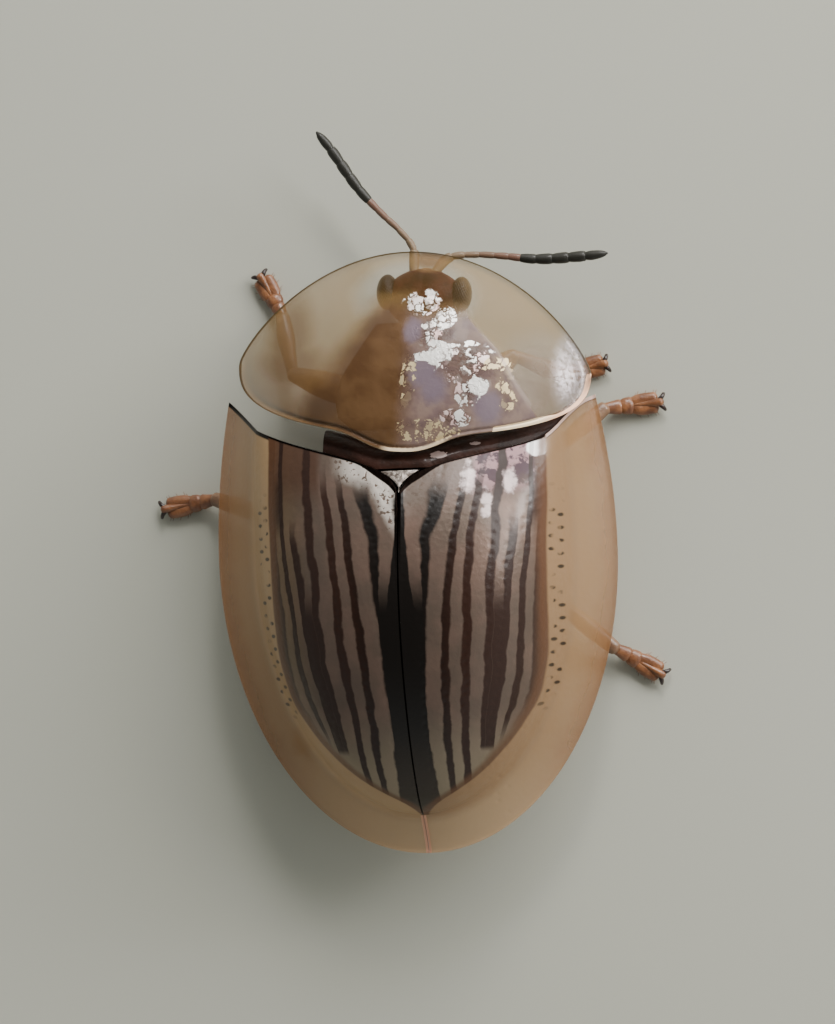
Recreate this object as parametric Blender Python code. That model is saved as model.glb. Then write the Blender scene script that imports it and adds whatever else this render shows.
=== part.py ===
"""A striped tortoise beetle at life size, standing on its six feet.

The head points along -Y, the animal's left is +X and the floor is Z = 0. All sizes below are in millimetres
and become metres only where a mesh is made. The body frame has its middle line at X = 0; the last step moves
the whole animal so that the origin lies on the floor under the middle of its bounding box.
"""

import math

import bmesh
import bpy
from mathutils import Matrix, Vector

MM = 0.001
SEAM = 0.08          # gap between one piece and the next
HALF_SEAM = SEAM / 2

# Heights above the floor
RIM_Z = 0.80         # top of the shell's outer rim
CREST_RISE = 1.48    # rim to the top of the back
BELLY_Z = 0.68       # underside of the body

# Wing cases, in plan
RIM_HALF = 2.21      # half the width across both rims
RIM_END = 3.30       # tail end of the rim
RIM_FRONT = (2.03, -1.64)
DISC_HALF = 1.70     # half the width of the domed part
DISC_END = 2.85
DISC_FRONT = (1.66, -1.33)
FRONT_SKEW = 0.072   # the left shoulder lies a little further forward than the right one
SUTURE_FRONT = -0.58
BASE_BULGE = 0.535   # how far the front edge bows forward beside the scutellum
BULGE_RISE, BULGE_FALL = 0.345, 1.76
LIP_REACH = 0.09     # the front wall leans forward as it goes down
DOME_POWER, DOME_ROUND = 2.6, 0.75
MARGIN_HOLLOW = 1.35
DISC_EDGE_RISE = 0.45
DISC_EDGE_RISE_TAIL = 0.34
CREST_Y = 0.55       # where the back is highest
CREST_FRONT_DROP = 0.46
CREST_POWER = 1.8
SHELL_THICK = 0.48
SHELL_INSET = 0.34   # how much narrower the underside of the dome is
MARGIN_THICK = 0.30
RIM_THICK = 0.15
FRONT_SHARE = 0.36   # share of the rows that lie ahead of Y = 0
ROWS, DISC_COLUMNS, MARGIN_COLUMNS = 26, 11, 4

ABDOMEN_RINGS = 5
ABDOMEN_STEP = 0.035 # how far each ring of the abdomen stands out from the next

# Scutellum and the dark band in front of it and of the wing cases
SCUTELLUM_FRONT = -0.90
SCUTELLUM_SIDE = ((0.06, -0.78), (0.14, -0.86), (0.19, -0.90))   # from its tip to its front corner
COLLAR_ENDS = (-1.50, 0.86)       # it reaches further on the right, where the shield is turned away
COLLAR_DEPTH, COLLAR_DROP, COLLAR_FALL = 0.20, 0.12, 0.22
COLLAR_END_DROP = 0.08            # how much lower it lies at the ends
COLLAR_STEPS = 18

# Pronotum, the shield over the head, in plan before it is turned
SHIELD_HALF = 1.945
SHIELD_X = -0.015
SHIELD_WIDEST_Y = -2.02
SHIELD_FRONT_REACH = 1.275
SHIELD_BACK_REACH = 0.74
SHIELD_LOBE, SHIELD_LOBE_HALF, SHIELD_LOBE_POWER = 0.176, 0.505, 2.8
SHIELD_FRONT_TAPER, SHIELD_BACK_TAPER = 1.585, 0.70
SHIELD_RISE = 0.85
SHIELD_RIM_RISE = 0.18
SHIELD_THICK = 0.42
SHIELD_CENTRE_Y = -2.05
SHIELD_YAW = math.radians(-4.3)   # the animal looks a little to its right
SHIELD_PIVOT = (0.05, -1.20)
SHIELD_SPOKES, SHIELD_RINGS = 56, 8

# Head
HEAD_AT = (-0.03, -2.76, 0.68)
HEAD_SIZE = (0.46, 0.35, 0.27)
EYE_AT, EYE_SIZE = (0.42, -2.82, 0.72), (0.12, 0.20, 0.18)

# Legs: coxa, knee, ankle and toe in plan, on the side of the animal that the sign gives
LEGS = {
    "leg_front_left": (1, (0.42, -1.66), (1.38, -2.02), (1.50, -2.66), (1.76, -3.15)),
    "leg_front_right": (-1, (0.42, -1.66), (1.10, -2.12), (1.58, -1.90), (2.09, -2.00)),
    "leg_middle_left": (1, (0.45, -0.55), (1.45, -0.36), (2.34, -0.67), (2.97, -0.58)),
    "leg_middle_right": (-1, (0.45, -0.55), (1.35, -0.95), (2.05, -1.50), (2.69, -1.55)),
    "leg_hind_left": (1, (0.45, 0.45), (1.25, 0.95), (1.38, 1.62), (1.49, 2.20)),
    "leg_hind_right": (-1, (0.45, 0.45), (1.36, 0.50), (2.06, 1.14), (2.59, 1.47)),
}
COXA_R, FEMUR_R, KNEE_R, TIBIA_R = 0.22, 0.215, 0.19, 0.19
HIP_Z, FEMUR_Z, KNEE_Z, ANKLE_Z = 0.35, 0.37, 0.37, 0.20
TARSUS_HALF = (0.17, 0.14)   # half the width of the broad foot lobes and their half height
FOOT_LOBES = ((0.12, 0.85, 0.17), (0.42, 0.95, 0.115), (0.74, 1.1, 0.095))   # place, width and height of each
FOOT_LOBE_SHARE = 0.30
CLAW_R = 0.045
LIMB_SIDES = 10

# Feelers: routes in the body frame, root first
ANTENNAE = {
    "antenna_left": ((0.05, -3.20, 0.62), (0.05, -3.50, 0.60), (0.46, -4.00, 0.60), (0.94, -4.70, 0.64)),
    "antenna_right": ((-0.38, -3.22, 0.62), (-0.70, -3.26, 0.60), (-1.40, -3.16, 0.60), (-2.22, -3.19, 0.64)),
}
ANTENNA_SEGMENTS = 11
RINGS_PER_SEGMENT = 3     # a route has three stretches, so eleven steps on each give three rings a segment
ANTENNA_R, ANTENNA_WAIST_R, ANTENNA_TIP_R = 0.17, 0.13, 0.04
ANTENNA_NOTCH = 0.80      # how far each joint between two segments is drawn in

SHELL_BROWN = (0.20, 0.13, 0.09, 1.0)
AMBER = (0.52, 0.36, 0.20, 1.0)
LEG_ORANGE = (0.50, 0.19, 0.07, 1.0)
DARK_BROWN = (0.05, 0.03, 0.02, 1.0)


def finish(name, colour, roughness, metallic=0.0):
    """A plain material in the part's own colour."""
    material = bpy.data.materials.new(name)
    material.use_nodes = True
    shader = material.node_tree.nodes["Principled BSDF"]
    shader.inputs["Base Color"].default_value = colour
    shader.inputs["Roughness"].default_value = roughness
    shader.inputs["Metallic"].default_value = metallic
    return material


def clear_scene():
    for old in list(bpy.data.objects):
        bpy.data.objects.remove(old, do_unlink=True)


def solid(name, points, faces, material=None):
    """A closed mesh object from points in millimetres, its equal points made one."""
    index, kept, renumber = {}, [], []
    for point in points:
        key = tuple(round(value, 5) for value in point)
        if key not in index:
            index[key] = len(kept)
            kept.append([value * MM for value in point])
        renumber.append(index[key])
    clean = []
    for face in faces:
        corners = []
        for corner in (renumber[number] for number in face):
            if corner not in corners:
                corners.append(corner)
        if len(corners) > 2:
            clean.append(corners)
    mesh = bpy.data.meshes.new(name)
    mesh.from_pydata(kept, [], clean)
    shape = bmesh.new()
    shape.from_mesh(mesh)
    bmesh.ops.recalc_face_normals(shape, faces=shape.faces)
    shape.to_mesh(mesh)
    shape.free()
    obj = bpy.data.objects.new(name, mesh)
    bpy.context.scene.collection.objects.link(obj)
    if material:
        mesh.materials.append(material)
    mesh.shade_smooth()
    mesh.set_sharp_from_angle(angle=math.radians(40))
    return obj


def slab(name, top, under, material):
    """A closed shell between two grids of the same size, with walls along all four borders."""
    rows, columns = len(top), len(top[0])
    points = [p for row in top for p in row] + [p for row in under for p in row]
    low = rows * columns

    def at(row, column):
        return row * columns + column

    faces = []
    for r in range(rows - 1):
        for c in range(columns - 1):
            quad = [at(r, c), at(r, c + 1), at(r + 1, c + 1), at(r + 1, c)]
            faces.append(quad)
            faces.append([low + number for number in reversed(quad)])
    border = [at(0, c) for c in range(columns)]
    border += [at(r, columns - 1) for r in range(1, rows)]
    border += [at(rows - 1, c) for c in range(columns - 2, -1, -1)]
    border += [at(r, 0) for r in range(rows - 2, 0, -1)]
    for a, b in zip(border, border[1:] + border[:1]):
        faces.append([b, a, low + a, low + b])
    return solid(name, points, faces, material)


def union(name, pieces, material):
    """Joins overlapping closed pieces into one node and keeps its largest closed surface."""
    base, rest = pieces[0], pieces[1:]
    group = bpy.data.collections.new(name + "_pieces")
    bpy.context.scene.collection.children.link(group)
    for piece in rest:
        group.objects.link(piece)
    join = base.modifiers.new("join", "BOOLEAN")
    join.operation = "UNION"
    join.operand_type = "COLLECTION"
    join.collection = group
    join.solver = "EXACT"
    bpy.context.view_layer.update()
    graph = bpy.context.evaluated_depsgraph_get()
    joined = bpy.data.meshes.new_from_object(base.evaluated_get(graph))
    for piece in pieces:
        bpy.data.objects.remove(piece, do_unlink=True)
    bpy.data.collections.remove(group)
    keep_largest(joined)
    joined.materials.clear()
    joined.materials.append(material)
    joined.name = name
    obj = bpy.data.objects.new(name, joined)
    bpy.context.scene.collection.objects.link(obj)
    joined.shade_smooth()
    joined.set_sharp_from_angle(angle=math.radians(40))
    return obj


def keep_largest(mesh):
    """Deletes every loose surface but the one with the most faces."""
    shape = bmesh.new()
    shape.from_mesh(mesh)
    bmesh.ops.triangulate(shape, faces=shape.faces)
    waiting, islands = set(shape.verts), []
    while waiting:
        island, edge_of_search = set(), [waiting.pop()]
        while edge_of_search:
            vert = edge_of_search.pop()
            island.add(vert)
            for edge in vert.link_edges:
                other = edge.other_vert(vert)
                if other in waiting:
                    waiting.discard(other)
                    edge_of_search.append(other)
        islands.append(island)
    islands.sort(key=len, reverse=True)
    for island in islands[1:]:
        bmesh.ops.delete(shape, geom=list(island), context="VERTS")
    shape.to_mesh(mesh)
    shape.free()


def lerp(a, b, share):
    return a + (b - a) * share


def crest_rise(y):
    """Height of the middle line of the wing cases above the rim."""
    if y < CREST_Y:
        return CREST_RISE - CREST_FRONT_DROP * ((CREST_Y - y) / (CREST_Y + 1.0)) ** 2
    along = min(1.0, (y - CREST_Y) / (DISC_END - CREST_Y))
    fall = max(0.0, 1 - along**CREST_POWER) ** DOME_ROUND
    return DISC_EDGE_RISE_TAIL + (CREST_RISE - DISC_EDGE_RISE_TAIL) * fall


def dome(u):
    """Share of the dome's rise left at the share u of the way from the middle line to the dome's edge."""
    return max(0.0, 1 - min(1.0, abs(u)) ** DOME_POWER) ** DOME_ROUND


def base_bulge(u):
    """How far the front edge of the wing cases bows forward of a straight line from suture to shoulder."""
    return BASE_BULGE * u**BULGE_RISE * (1 - u) ** BULGE_FALL


def front_skew(x, ahead):
    """How much further forward a point at X lies, for the share ahead of the way to the front edge."""
    return FRONT_SKEW * x / DISC_FRONT[0] * ahead**2


def wing_case_front(x):
    """Y and Z of the front edge of the wing cases at X."""
    u = min(1.0, max(0.0, (abs(x) - HALF_SEAM) / (DISC_FRONT[0] - HALF_SEAM)))
    y = lerp(SUTURE_FRONT, DISC_FRONT[1], u) - base_bulge(u)
    return y - front_skew(x, 1.0), RIM_Z + DISC_EDGE_RISE + (crest_rise(y) - DISC_EDGE_RISE) * dome(u)


def wing_case_grid(side, inset):
    """Points of one wing case: inset 0 is its upper surface, 1 its underside."""
    disc_half = DISC_HALF - SHELL_INSET * inset
    disc_end = DISC_END - 0.7 * SHELL_INSET * inset
    rows = []
    for row in range(ROWS + 1):
        t = row / ROWS
        ahead = max(0.0, 1 - t / FRONT_SHARE)
        turn = max(0.0, (t - FRONT_SHARE) / (1 - FRONT_SHARE)) * math.pi / 2
        sine, cosine = math.sin(turn), max(0.0, math.cos(turn))
        suture_y = disc_end * sine if turn > 0 else SUTURE_FRONT * ahead
        disc_x = lerp(disc_half, DISC_FRONT[0] - SHELL_INSET * inset, ahead**2)
        disc_x = HALF_SEAM + (disc_x - HALF_SEAM) * cosine
        disc_y = disc_end * sine if turn > 0 else DISC_FRONT[1] * ahead
        rim_x = lerp(RIM_HALF, RIM_FRONT[0], ahead**2)
        rim_x = HALF_SEAM + (rim_x - HALF_SEAM) * cosine
        rim_y = RIM_END * sine if turn > 0 else RIM_FRONT[1] * ahead
        edge = RIM_Z + lerp(DISC_EDGE_RISE, DISC_EDGE_RISE_TAIL, sine**2) - MARGIN_THICK * inset
        rim = RIM_Z - RIM_THICK * inset
        points = []
        for column in range(DISC_COLUMNS):
            u = column / DISC_COLUMNS
            y = lerp(suture_y, disc_y, u) - ahead**3 * base_bulge(u)
            crest = RIM_Z + crest_rise(y * DISC_END / disc_end) - SHELL_THICK * inset
            lean = LIP_REACH * ahead**8 * inset
            x = side * lerp(HALF_SEAM, disc_x, u)
            points.append((x, y - lean - front_skew(x, ahead), edge + (crest - edge) * dome(u)))
        for column in range(MARGIN_COLUMNS + 1):
            v = column / MARGIN_COLUMNS
            lean = LIP_REACH * ahead**8 * inset * (1 - v)
            x = side * lerp(disc_x, rim_x, v)
            y = lerp(disc_y, rim_y, v) - lean - front_skew(x, ahead)
            points.append((x, y, rim + (edge - rim) * (1 - v) ** MARGIN_HOLLOW))
        rows.append(points)
    return rows


def wing_case(name, side, material):
    return slab(name, wing_case_grid(side, 0), wing_case_grid(side, 1), material)


def shield_edges(x):
    """Front and back Y of the pronotum at the distance x from its middle line."""
    cosine = math.sqrt(max(0.0, 1 - (x / SHIELD_HALF) ** 2))
    front = SHIELD_WIDEST_Y - SHIELD_FRONT_REACH * cosine**SHIELD_FRONT_TAPER
    lobe = SHIELD_LOBE * math.exp(-(abs(x / SHIELD_LOBE_HALF) ** SHIELD_LOBE_POWER))
    back = SHIELD_WIDEST_Y + SHIELD_BACK_REACH * cosine**SHIELD_BACK_TAPER + lobe * cosine
    return front, back


def shield_outline(angle):
    """A point of the pronotum's outline; angle 0 is the middle of the front edge."""
    x = SHIELD_HALF * math.sin(angle)
    front, back = shield_edges(x)
    return x, front if math.cos(angle) >= 0 else back


def shield_height(x, y):
    """Height of the pronotum's upper surface."""
    front, back = shield_edges(x)
    along = 1.0 if back - front < 1e-6 else min(1.0, max(0.0, (y - front) / (back - front)))
    across = max(0.0, 1 - (abs(x) / (SHIELD_HALF + 0.02)) ** 2.2) ** 0.9
    return RIM_Z + SHIELD_RIM_RISE + SHIELD_RISE * across * (1 - (1 - along) ** 2)


def turn_with_shield(point):
    """Turns a point of the neutral front body the way the animal looks."""
    pivot = Vector((SHIELD_PIVOT[0], SHIELD_PIVOT[1], 0))
    turned = Matrix.Rotation(SHIELD_YAW, 3, "Z") @ (Vector(point) - pivot) + pivot
    return tuple(turned)


def pronotum(material):
    """The shield: a fan of rings round its middle, thick there and thin at the rim."""
    points, faces = [], []
    for under in (0, 1):
        for ring in range(SHIELD_RINGS + 1):
            share = ring / SHIELD_RINGS
            for spoke in range(SHIELD_SPOKES):
                edge_x, edge_y = shield_outline(2 * math.pi * spoke / SHIELD_SPOKES)
                x = edge_x * share
                y = lerp(SHIELD_CENTRE_Y, edge_y, share)
                thick = lerp(SHIELD_THICK, RIM_THICK, share**2)
                z = shield_height(x, y) - under * thick
                points.append(turn_with_shield((x + SHIELD_X, y, z)))
    count = (SHIELD_RINGS + 1) * SHIELD_SPOKES
    for ring in range(SHIELD_RINGS):
        for spoke in range(SHIELD_SPOKES):
            following = (spoke + 1) % SHIELD_SPOKES
            a, b = ring * SHIELD_SPOKES + spoke, ring * SHIELD_SPOKES + following
            quad = [a, b, b + SHIELD_SPOKES, a + SHIELD_SPOKES]
            faces.append(quad)
            faces.append([count + number for number in reversed(quad)])
    rim = SHIELD_RINGS * SHIELD_SPOKES
    for spoke in range(SHIELD_SPOKES):
        following = (spoke + 1) % SHIELD_SPOKES
        faces.append([rim + spoke, rim + following, count + rim + following, count + rim + spoke])
    return solid("pronotum", points, faces, material)


def loft(name, sections, material=None):
    """A closed solid through rings of equal length, each end closed by a flat face."""
    size = len(sections[0])
    points = [p for section in sections for p in section]
    faces = [list(range(size))[::-1]]
    for ring in range(len(sections) - 1):
        for corner in range(size):
            following = (corner + 1) % size
            a, b = ring * size + corner, ring * size + following
            faces.append([a, b, b + size, a + size])
    last = (len(sections) - 1) * size
    faces.append([last + corner for corner in range(size)])
    return solid(name, points, faces, material)


def body_section(y, half_width, top, edge, bottom, corners=22):
    """One cross-section of the body under the wing cases, in the plane of constant Y."""
    section = []
    for corner in range(corners):
        angle = 2 * math.pi * corner / corners
        across = math.cos(angle)
        if math.sin(angle) >= 0:
            z = edge + (top - edge) * dome(across)
        else:
            z = edge - (edge - bottom) * abs(math.sin(angle)) ** 0.8
        section.append((half_width * across, y, z))
    return section


def under_shell(y):
    """Half width, top and edge height of the room under the wing cases at Y, less the seam."""
    disc_end = DISC_END - 0.7 * SHELL_INSET
    sine = min(1.0, max(0.0, y / disc_end))
    half = (DISC_HALF - SHELL_INSET) * math.sqrt(1 - sine**2)
    top = RIM_Z + crest_rise(y * DISC_END / disc_end) - SHELL_THICK
    edge = RIM_Z + lerp(DISC_EDGE_RISE, DISC_EDGE_RISE_TAIL, sine**2) - MARGIN_THICK
    return half - 1.2 * SEAM, top - SEAM, edge - 0.5 * SEAM


def abdomen(material):
    """Five rings that overlap like tiles towards the tail."""
    start, stop = 0.80, 2.48
    sections = []
    for ring in range(ABDOMEN_RINGS):
        for share, step in ((0.0, ABDOMEN_STEP), (0.12, 0.0), (0.97, 0.0)):
            along = math.sin((ring + share) / ABDOMEN_RINGS * math.pi / 2)
            half, top, edge = under_shell(lerp(start, stop, along))
            low = lerp(BELLY_Z, edge - 0.12, along**3) + step
            sections.append(body_section(lerp(start, stop, along), half - step, top - step, edge, low))
    return loft("abdomen", sections, material)


def thorax(material):
    """The body's middle, with the dark neck that shows between the shield and the wing cases."""
    start, stop, count = -1.14, 0.80 - SEAM, 7
    sections = []
    for number in range(count + 1):
        y = lerp(start, stop, number / count)
        half, top, edge = under_shell(y)
        ahead = max(0.0, -y)
        sections.append(body_section(y, half - 0.14 * ahead, top, edge, BELLY_Z))
    return union("thorax", [loft("thorax_body", sections), collar()], material)


def collar():
    """The dark rounded band that follows the front edge of the wing cases and the scutellum."""
    sections = []
    for number in range(COLLAR_STEPS + 1):
        x = lerp(*COLLAR_ENDS, number / COLLAR_STEPS)
        out = (x / COLLAR_ENDS[0]) ** 2
        edge_y, edge_z = wing_case_front(x)
        back = min(edge_y - SEAM - 0.03, SCUTELLUM_FRONT - 0.7 * SEAM)
        top = min(edge_z, RIM_Z + crest_rise(SCUTELLUM_FRONT)) - COLLAR_DROP - COLLAR_END_DROP * out
        low = lerp(1.10, 0.88, out)
        sections.append([
            (x, back, top),
            (x, back - 0.4 * COLLAR_DEPTH, top - 0.3 * COLLAR_FALL),
            (x, back - COLLAR_DEPTH, top - COLLAR_FALL),
            (x, back - COLLAR_DEPTH, low),
            (x, back - LIP_REACH, low),
        ])
    return loft("collar", sections)


def prothorax(material):
    """The block under the shield that carries the head and the front legs."""
    sections = []
    for y, half, top in ((-2.30, 0.46, 1.00), (-2.10, 0.66, 1.08), (-1.80, 0.80, 1.18), (-1.52, 0.80, 1.24),
                         (-1.36, 0.66, 1.14)):
        sections.append(body_section(y, half, top, 0.92, BELLY_Z, corners=18))
    return loft("prothorax", sections, material)


def scutellum(material):
    """The small triangle set between the wing cases, on a short stalk over the thorax."""
    low = RIM_Z + crest_rise(SUTURE_FRONT) - SHELL_THICK
    outline = [(0.0, SUTURE_FRONT - 1.5 * SEAM), *SCUTELLUM_SIDE]
    outline += [(-x, y) for x, y in reversed(SCUTELLUM_SIDE)]
    sections = [[(x, y, low) for x, y in outline]]
    sections.append([(x, y, RIM_Z + crest_rise(y) - 0.02) for x, y in outline])
    return loft("scutellum", sections, material)


def ball(name, centre, size, material=None, rings=7, sides=12):
    """An ellipsoid of a few sides."""
    points, faces = [], []
    for ring in range(rings + 1):
        tilt = math.pi * ring / rings
        for side in range(sides):
            turn = 2 * math.pi * side / sides
            points.append((
                centre[0] + size[0] * math.sin(tilt) * math.cos(turn),
                centre[1] + size[1] * math.sin(tilt) * math.sin(turn),
                centre[2] + size[2] * math.cos(tilt),
            ))
    for ring in range(rings):
        for side in range(sides):
            following = (side + 1) % sides
            a, b = ring * sides + side, ring * sides + following
            faces.append([a, b, b + sides, a + sides])
    return solid(name, points, faces, material)


def tube(name, route, radii, material=None, sides=LIMB_SIDES, flat=1.0):
    """A tapering limb along a route of points, its height the share flat of its width."""
    route = [Vector(point) for point in route]
    sections = []
    for number, point in enumerate(route):
        before = route[max(0, number - 1)]
        after = route[min(len(route) - 1, number + 1)]
        ahead = (after - before).normalized()
        across = ahead.cross(Vector((0, 0, 1))).normalized()
        up = across.cross(ahead)
        section = []
        for side in range(sides):
            turn = 2 * math.pi * (side + 0.5) / sides
            offset = across * math.cos(turn) + up * math.sin(turn) * flat
            section.append(tuple(point + offset * radii[number]))
        sections.append(section)
    return loft(name, sections, material)


def curve_through(points, steps):
    """Points on one smooth curve through the given ones."""
    points = [Vector(point) for point in points]
    padded = [2 * points[0] - points[1], *points, 2 * points[-1] - points[-2]]
    route = []
    for number in range(len(points) - 1):
        a, b, c, d = padded[number:number + 4]
        for step in range(steps):
            t = step / steps
            route.append(
                0.5 * (2 * b + (c - a) * t + (2 * a - 5 * b + 4 * c - d) * t**2 + (3 * b - a - 3 * c + d) * t**3)
            )
    return [*route, points[-1]]


def head(material):
    """The head capsule with its upper lip, jaws and short palps below."""
    x, y, z = HEAD_AT
    pieces = [ball("head_capsule", HEAD_AT, HEAD_SIZE, rings=9, sides=18)]
    pieces.append(ball("upper_lip", (x, y - 0.20, z - 0.22), (0.17, 0.12, 0.12)))
    for side in (-1, 1):
        pieces.append(ball(f"jaw_{side}", (x + side * 0.11, y - 0.17, z - 0.29), (0.09, 0.09, 0.11)))
        root = (x + side * 0.22, y - 0.10, z - 0.22)
        tip = (x + side * 0.27, y - 0.24, z - 0.38)
        pieces.append(tube(f"palp_{side}", (root, tip), (0.07, 0.04), sides=8))
    joined = union("head", pieces, material)
    turn_mesh(joined)
    return joined


def turn_mesh(obj):
    for vert in obj.data.vertices:
        turned = turn_with_shield(tuple(value / MM for value in vert.co))
        vert.co = [value * MM for value in turned]


def eye(name, side, material):
    """A compound eye on the side of the head, a seam away from it."""
    x = HEAD_AT[0] + side * (EYE_AT[0] + SEAM)
    centre = Vector((x, EYE_AT[1], EYE_AT[2]))
    made = ball(name, centre, EYE_SIZE, material, rings=6, sides=12)
    for vert in made.data.vertices:
        local = Vector(vert.co) / MM
        gap = Vector(((local.x - HEAD_AT[0]) / (HEAD_SIZE[0] + SEAM), (local.y - HEAD_AT[1]) / (HEAD_SIZE[1] + SEAM),
                      (local.z - HEAD_AT[2]) / (HEAD_SIZE[2] + SEAM)))
        if gap.length < 1.0:
            local = Vector(HEAD_AT) + (local - Vector(HEAD_AT)) / gap.length
        vert.co = local * MM
    turn_mesh(made)
    return made


def antenna(name, route, material):
    """A feeler of eleven bead-like segments: stout root, slimmer shaft and a tapering club."""
    path = curve_through(route, ANTENNA_SEGMENTS)
    radii = []
    for number in range(len(path)):
        share = number / (len(path) - 1)
        if share < 0.5:
            radius = lerp(ANTENNA_R, ANTENNA_WAIST_R, min(1.0, share / 0.3))
        else:
            radius = lerp(ANTENNA_WAIST_R, ANTENNA_TIP_R, (2 * share - 1) ** 3)
        waist = number % RINGS_PER_SEGMENT == 0 and 0 < share < 1
        radii.append(radius * (ANTENNA_NOTCH if waist else 1.0))
    return tube(name, path, radii, material, sides=8)


def leg(name, material):
    """Coxa, femur, tibia, a broad foot of three lobes that stands on the floor, and two claws."""
    side, coxa, knee, ankle, toe = LEGS[name]
    hip = Vector((side * coxa[0], coxa[1], HIP_Z))
    knee = Vector((side * knee[0], knee[1], KNEE_Z))
    ankle = Vector((side * ankle[0], ankle[1], ANKLE_Z))
    toe = Vector((side * toe[0], toe[1], TARSUS_HALF[1]))
    middle = hip.lerp(knee, 0.5) + Vector((0, 0, FEMUR_Z - HIP_Z))
    pieces = [tube(name + "_femur", (hip, middle, knee), (0.19, FEMUR_R, KNEE_R))]
    pieces.append(ball(name + "_coxa", hip, (COXA_R, COXA_R, COXA_R)))
    pieces.append(ball(name + "_knee", knee, (KNEE_R * 1.04,) * 3, rings=6, sides=10))
    pieces.append(tube(name + "_tibia", (knee, knee.lerp(ankle, 0.6), ankle), (0.15, TIBIA_R * 0.9, TIBIA_R)))
    foot = toe - ankle
    flat_ahead = Vector((foot.x, foot.y, 0)).normalized()
    across = Vector((-flat_ahead.y, flat_ahead.x, 0))
    for share, width, height in FOOT_LOBES:
        centre = ankle.lerp(toe, share)
        centre.z = height
        half_length = FOOT_LOBE_SHARE * foot.length
        pieces.append(foot_lobe(f"{name}_lobe_{share}", centre, flat_ahead, across, half_length, width))
    for spread in (-1, 1):
        root = toe - flat_ahead * 0.10 + across * spread * 0.05
        tip = toe + flat_ahead * 0.06 + across * spread * 0.12
        root.z, tip.z = 0.11, 0.05
        pieces.append(tube(f"{name}_claw_{spread}", (root, tip), (CLAW_R, 0.02), sides=6))
    joined = union(name, pieces, material)
    stand_on_floor(joined)
    return joined


def foot_lobe(name, centre, ahead, across, half_length, width):
    """One lobe of a foot, an ellipsoid turned along the foot."""
    made = ball(name, (0, 0, 0), (half_length, TARSUS_HALF[0] * width, TARSUS_HALF[1]), rings=6, sides=12)
    for vert in made.data.vertices:
        local = Vector(vert.co) / MM
        vert.co = (centre + ahead * local.x + across * local.y + Vector((0, 0, local.z))) * MM
    return made


def stand_on_floor(obj):
    """Flattens all that would sink below the floor, which gives each foot its sole."""
    for vert in obj.data.vertices:
        vert.co.z = max(vert.co.z, 0.0)


def centre_on_floor():
    """Moves every piece alike, so that the origin is on the floor under the middle of the bounding box."""
    corners = [vert.co for obj in bpy.data.objects for vert in obj.data.vertices]
    low = [min(corner[axis] for corner in corners) for axis in range(3)]
    high = [max(corner[axis] for corner in corners) for axis in range(3)]
    shift = Matrix.Translation((-(low[0] + high[0]) / 2, -(low[1] + high[1]) / 2, -low[2]))
    for obj in bpy.data.objects:
        obj.data.transform(shift)


def main():
    clear_scene()
    shell = finish("striped_shell", SHELL_BROWN, 0.25, 0.3)
    shield = finish("amber_shield", AMBER, 0.3)
    orange = finish("leg_orange", LEG_ORANGE, 0.45)
    dark = finish("dark_brown", DARK_BROWN, 0.4)
    wing_case("elytron_left", 1, shell)
    wing_case("elytron_right", -1, shell)
    pronotum(shield)
    scutellum(shell)
    thorax(dark)
    prothorax(dark)
    abdomen(dark)
    head(dark)
    eye("eye_left", 1, dark)
    eye("eye_right", -1, dark)
    for name, route in ANTENNAE.items():
        antenna(name, route, orange)
    for name in LEGS:
        leg(name, orange)
    centre_on_floor()


main()
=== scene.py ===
# %% [markdown]
# # A striped tortoise beetle, seven millimetres of insect
# The real animal is a small dome with clear flared edges, a clear shield over its head, bent feelers and six
# short legs. The solids of the frame give its true size. Here every visible piece is modelled again as fine
# mesh, at the thickness of real cuticle, and each one gets a material made of shader nodes. All lengths below
# are millimetres, because that is how one thinks about an insect, and they become metres in one function.

# %% Load the frame
import math

import bpy
import numpy as np
from mathutils import Matrix, Vector


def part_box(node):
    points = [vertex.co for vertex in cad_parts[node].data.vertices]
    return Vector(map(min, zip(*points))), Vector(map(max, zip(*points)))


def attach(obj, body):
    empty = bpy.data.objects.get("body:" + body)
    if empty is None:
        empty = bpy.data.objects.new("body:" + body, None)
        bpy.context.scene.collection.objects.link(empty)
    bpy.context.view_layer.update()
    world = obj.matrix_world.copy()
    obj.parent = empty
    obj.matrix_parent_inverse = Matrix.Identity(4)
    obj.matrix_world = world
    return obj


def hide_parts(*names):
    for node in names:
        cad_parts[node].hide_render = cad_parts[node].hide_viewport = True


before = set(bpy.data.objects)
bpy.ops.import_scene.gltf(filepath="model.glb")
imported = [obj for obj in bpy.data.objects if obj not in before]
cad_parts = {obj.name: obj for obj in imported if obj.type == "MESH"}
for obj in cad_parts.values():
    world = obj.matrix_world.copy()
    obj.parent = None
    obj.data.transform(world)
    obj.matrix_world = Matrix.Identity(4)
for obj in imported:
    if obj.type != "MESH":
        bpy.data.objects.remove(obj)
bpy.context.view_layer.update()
MM = 0.001
print("nodes in the frame:", sorted(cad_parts))

# %% [markdown]
# The solids were centred on their bounding box, so the beetle's middle line isn't at X = 0. The two wing cases
# meet on that line and end at the tail, so their boxes tell how far everything was moved. Working that out here
# means that all other numbers can stay in the beetle's own, symmetrical frame: head towards -Y, left side +X.

# %% Where the middle line lies
SHELL_END = 3.30          # the tail end of the wing cases in the beetle's own frame
left_low, left_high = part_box("elytron_left")
_, right_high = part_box("elytron_right")
SHIFT = np.array([(left_low[0] + right_high[0]) / 2, left_high[1] - SHELL_END * MM, 0.0]) / MM
print("middle line and shift in mm:", SHIFT.round(3))

# %% [markdown]
# Numpy moves thousands of points at once, which a Python loop would do slowly. A few small helpers come first:
# a straight blend, a smooth step, and the smoothing of a grid of heights, which rounds a crease as a file would.

# %% Small helpers on arrays


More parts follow.
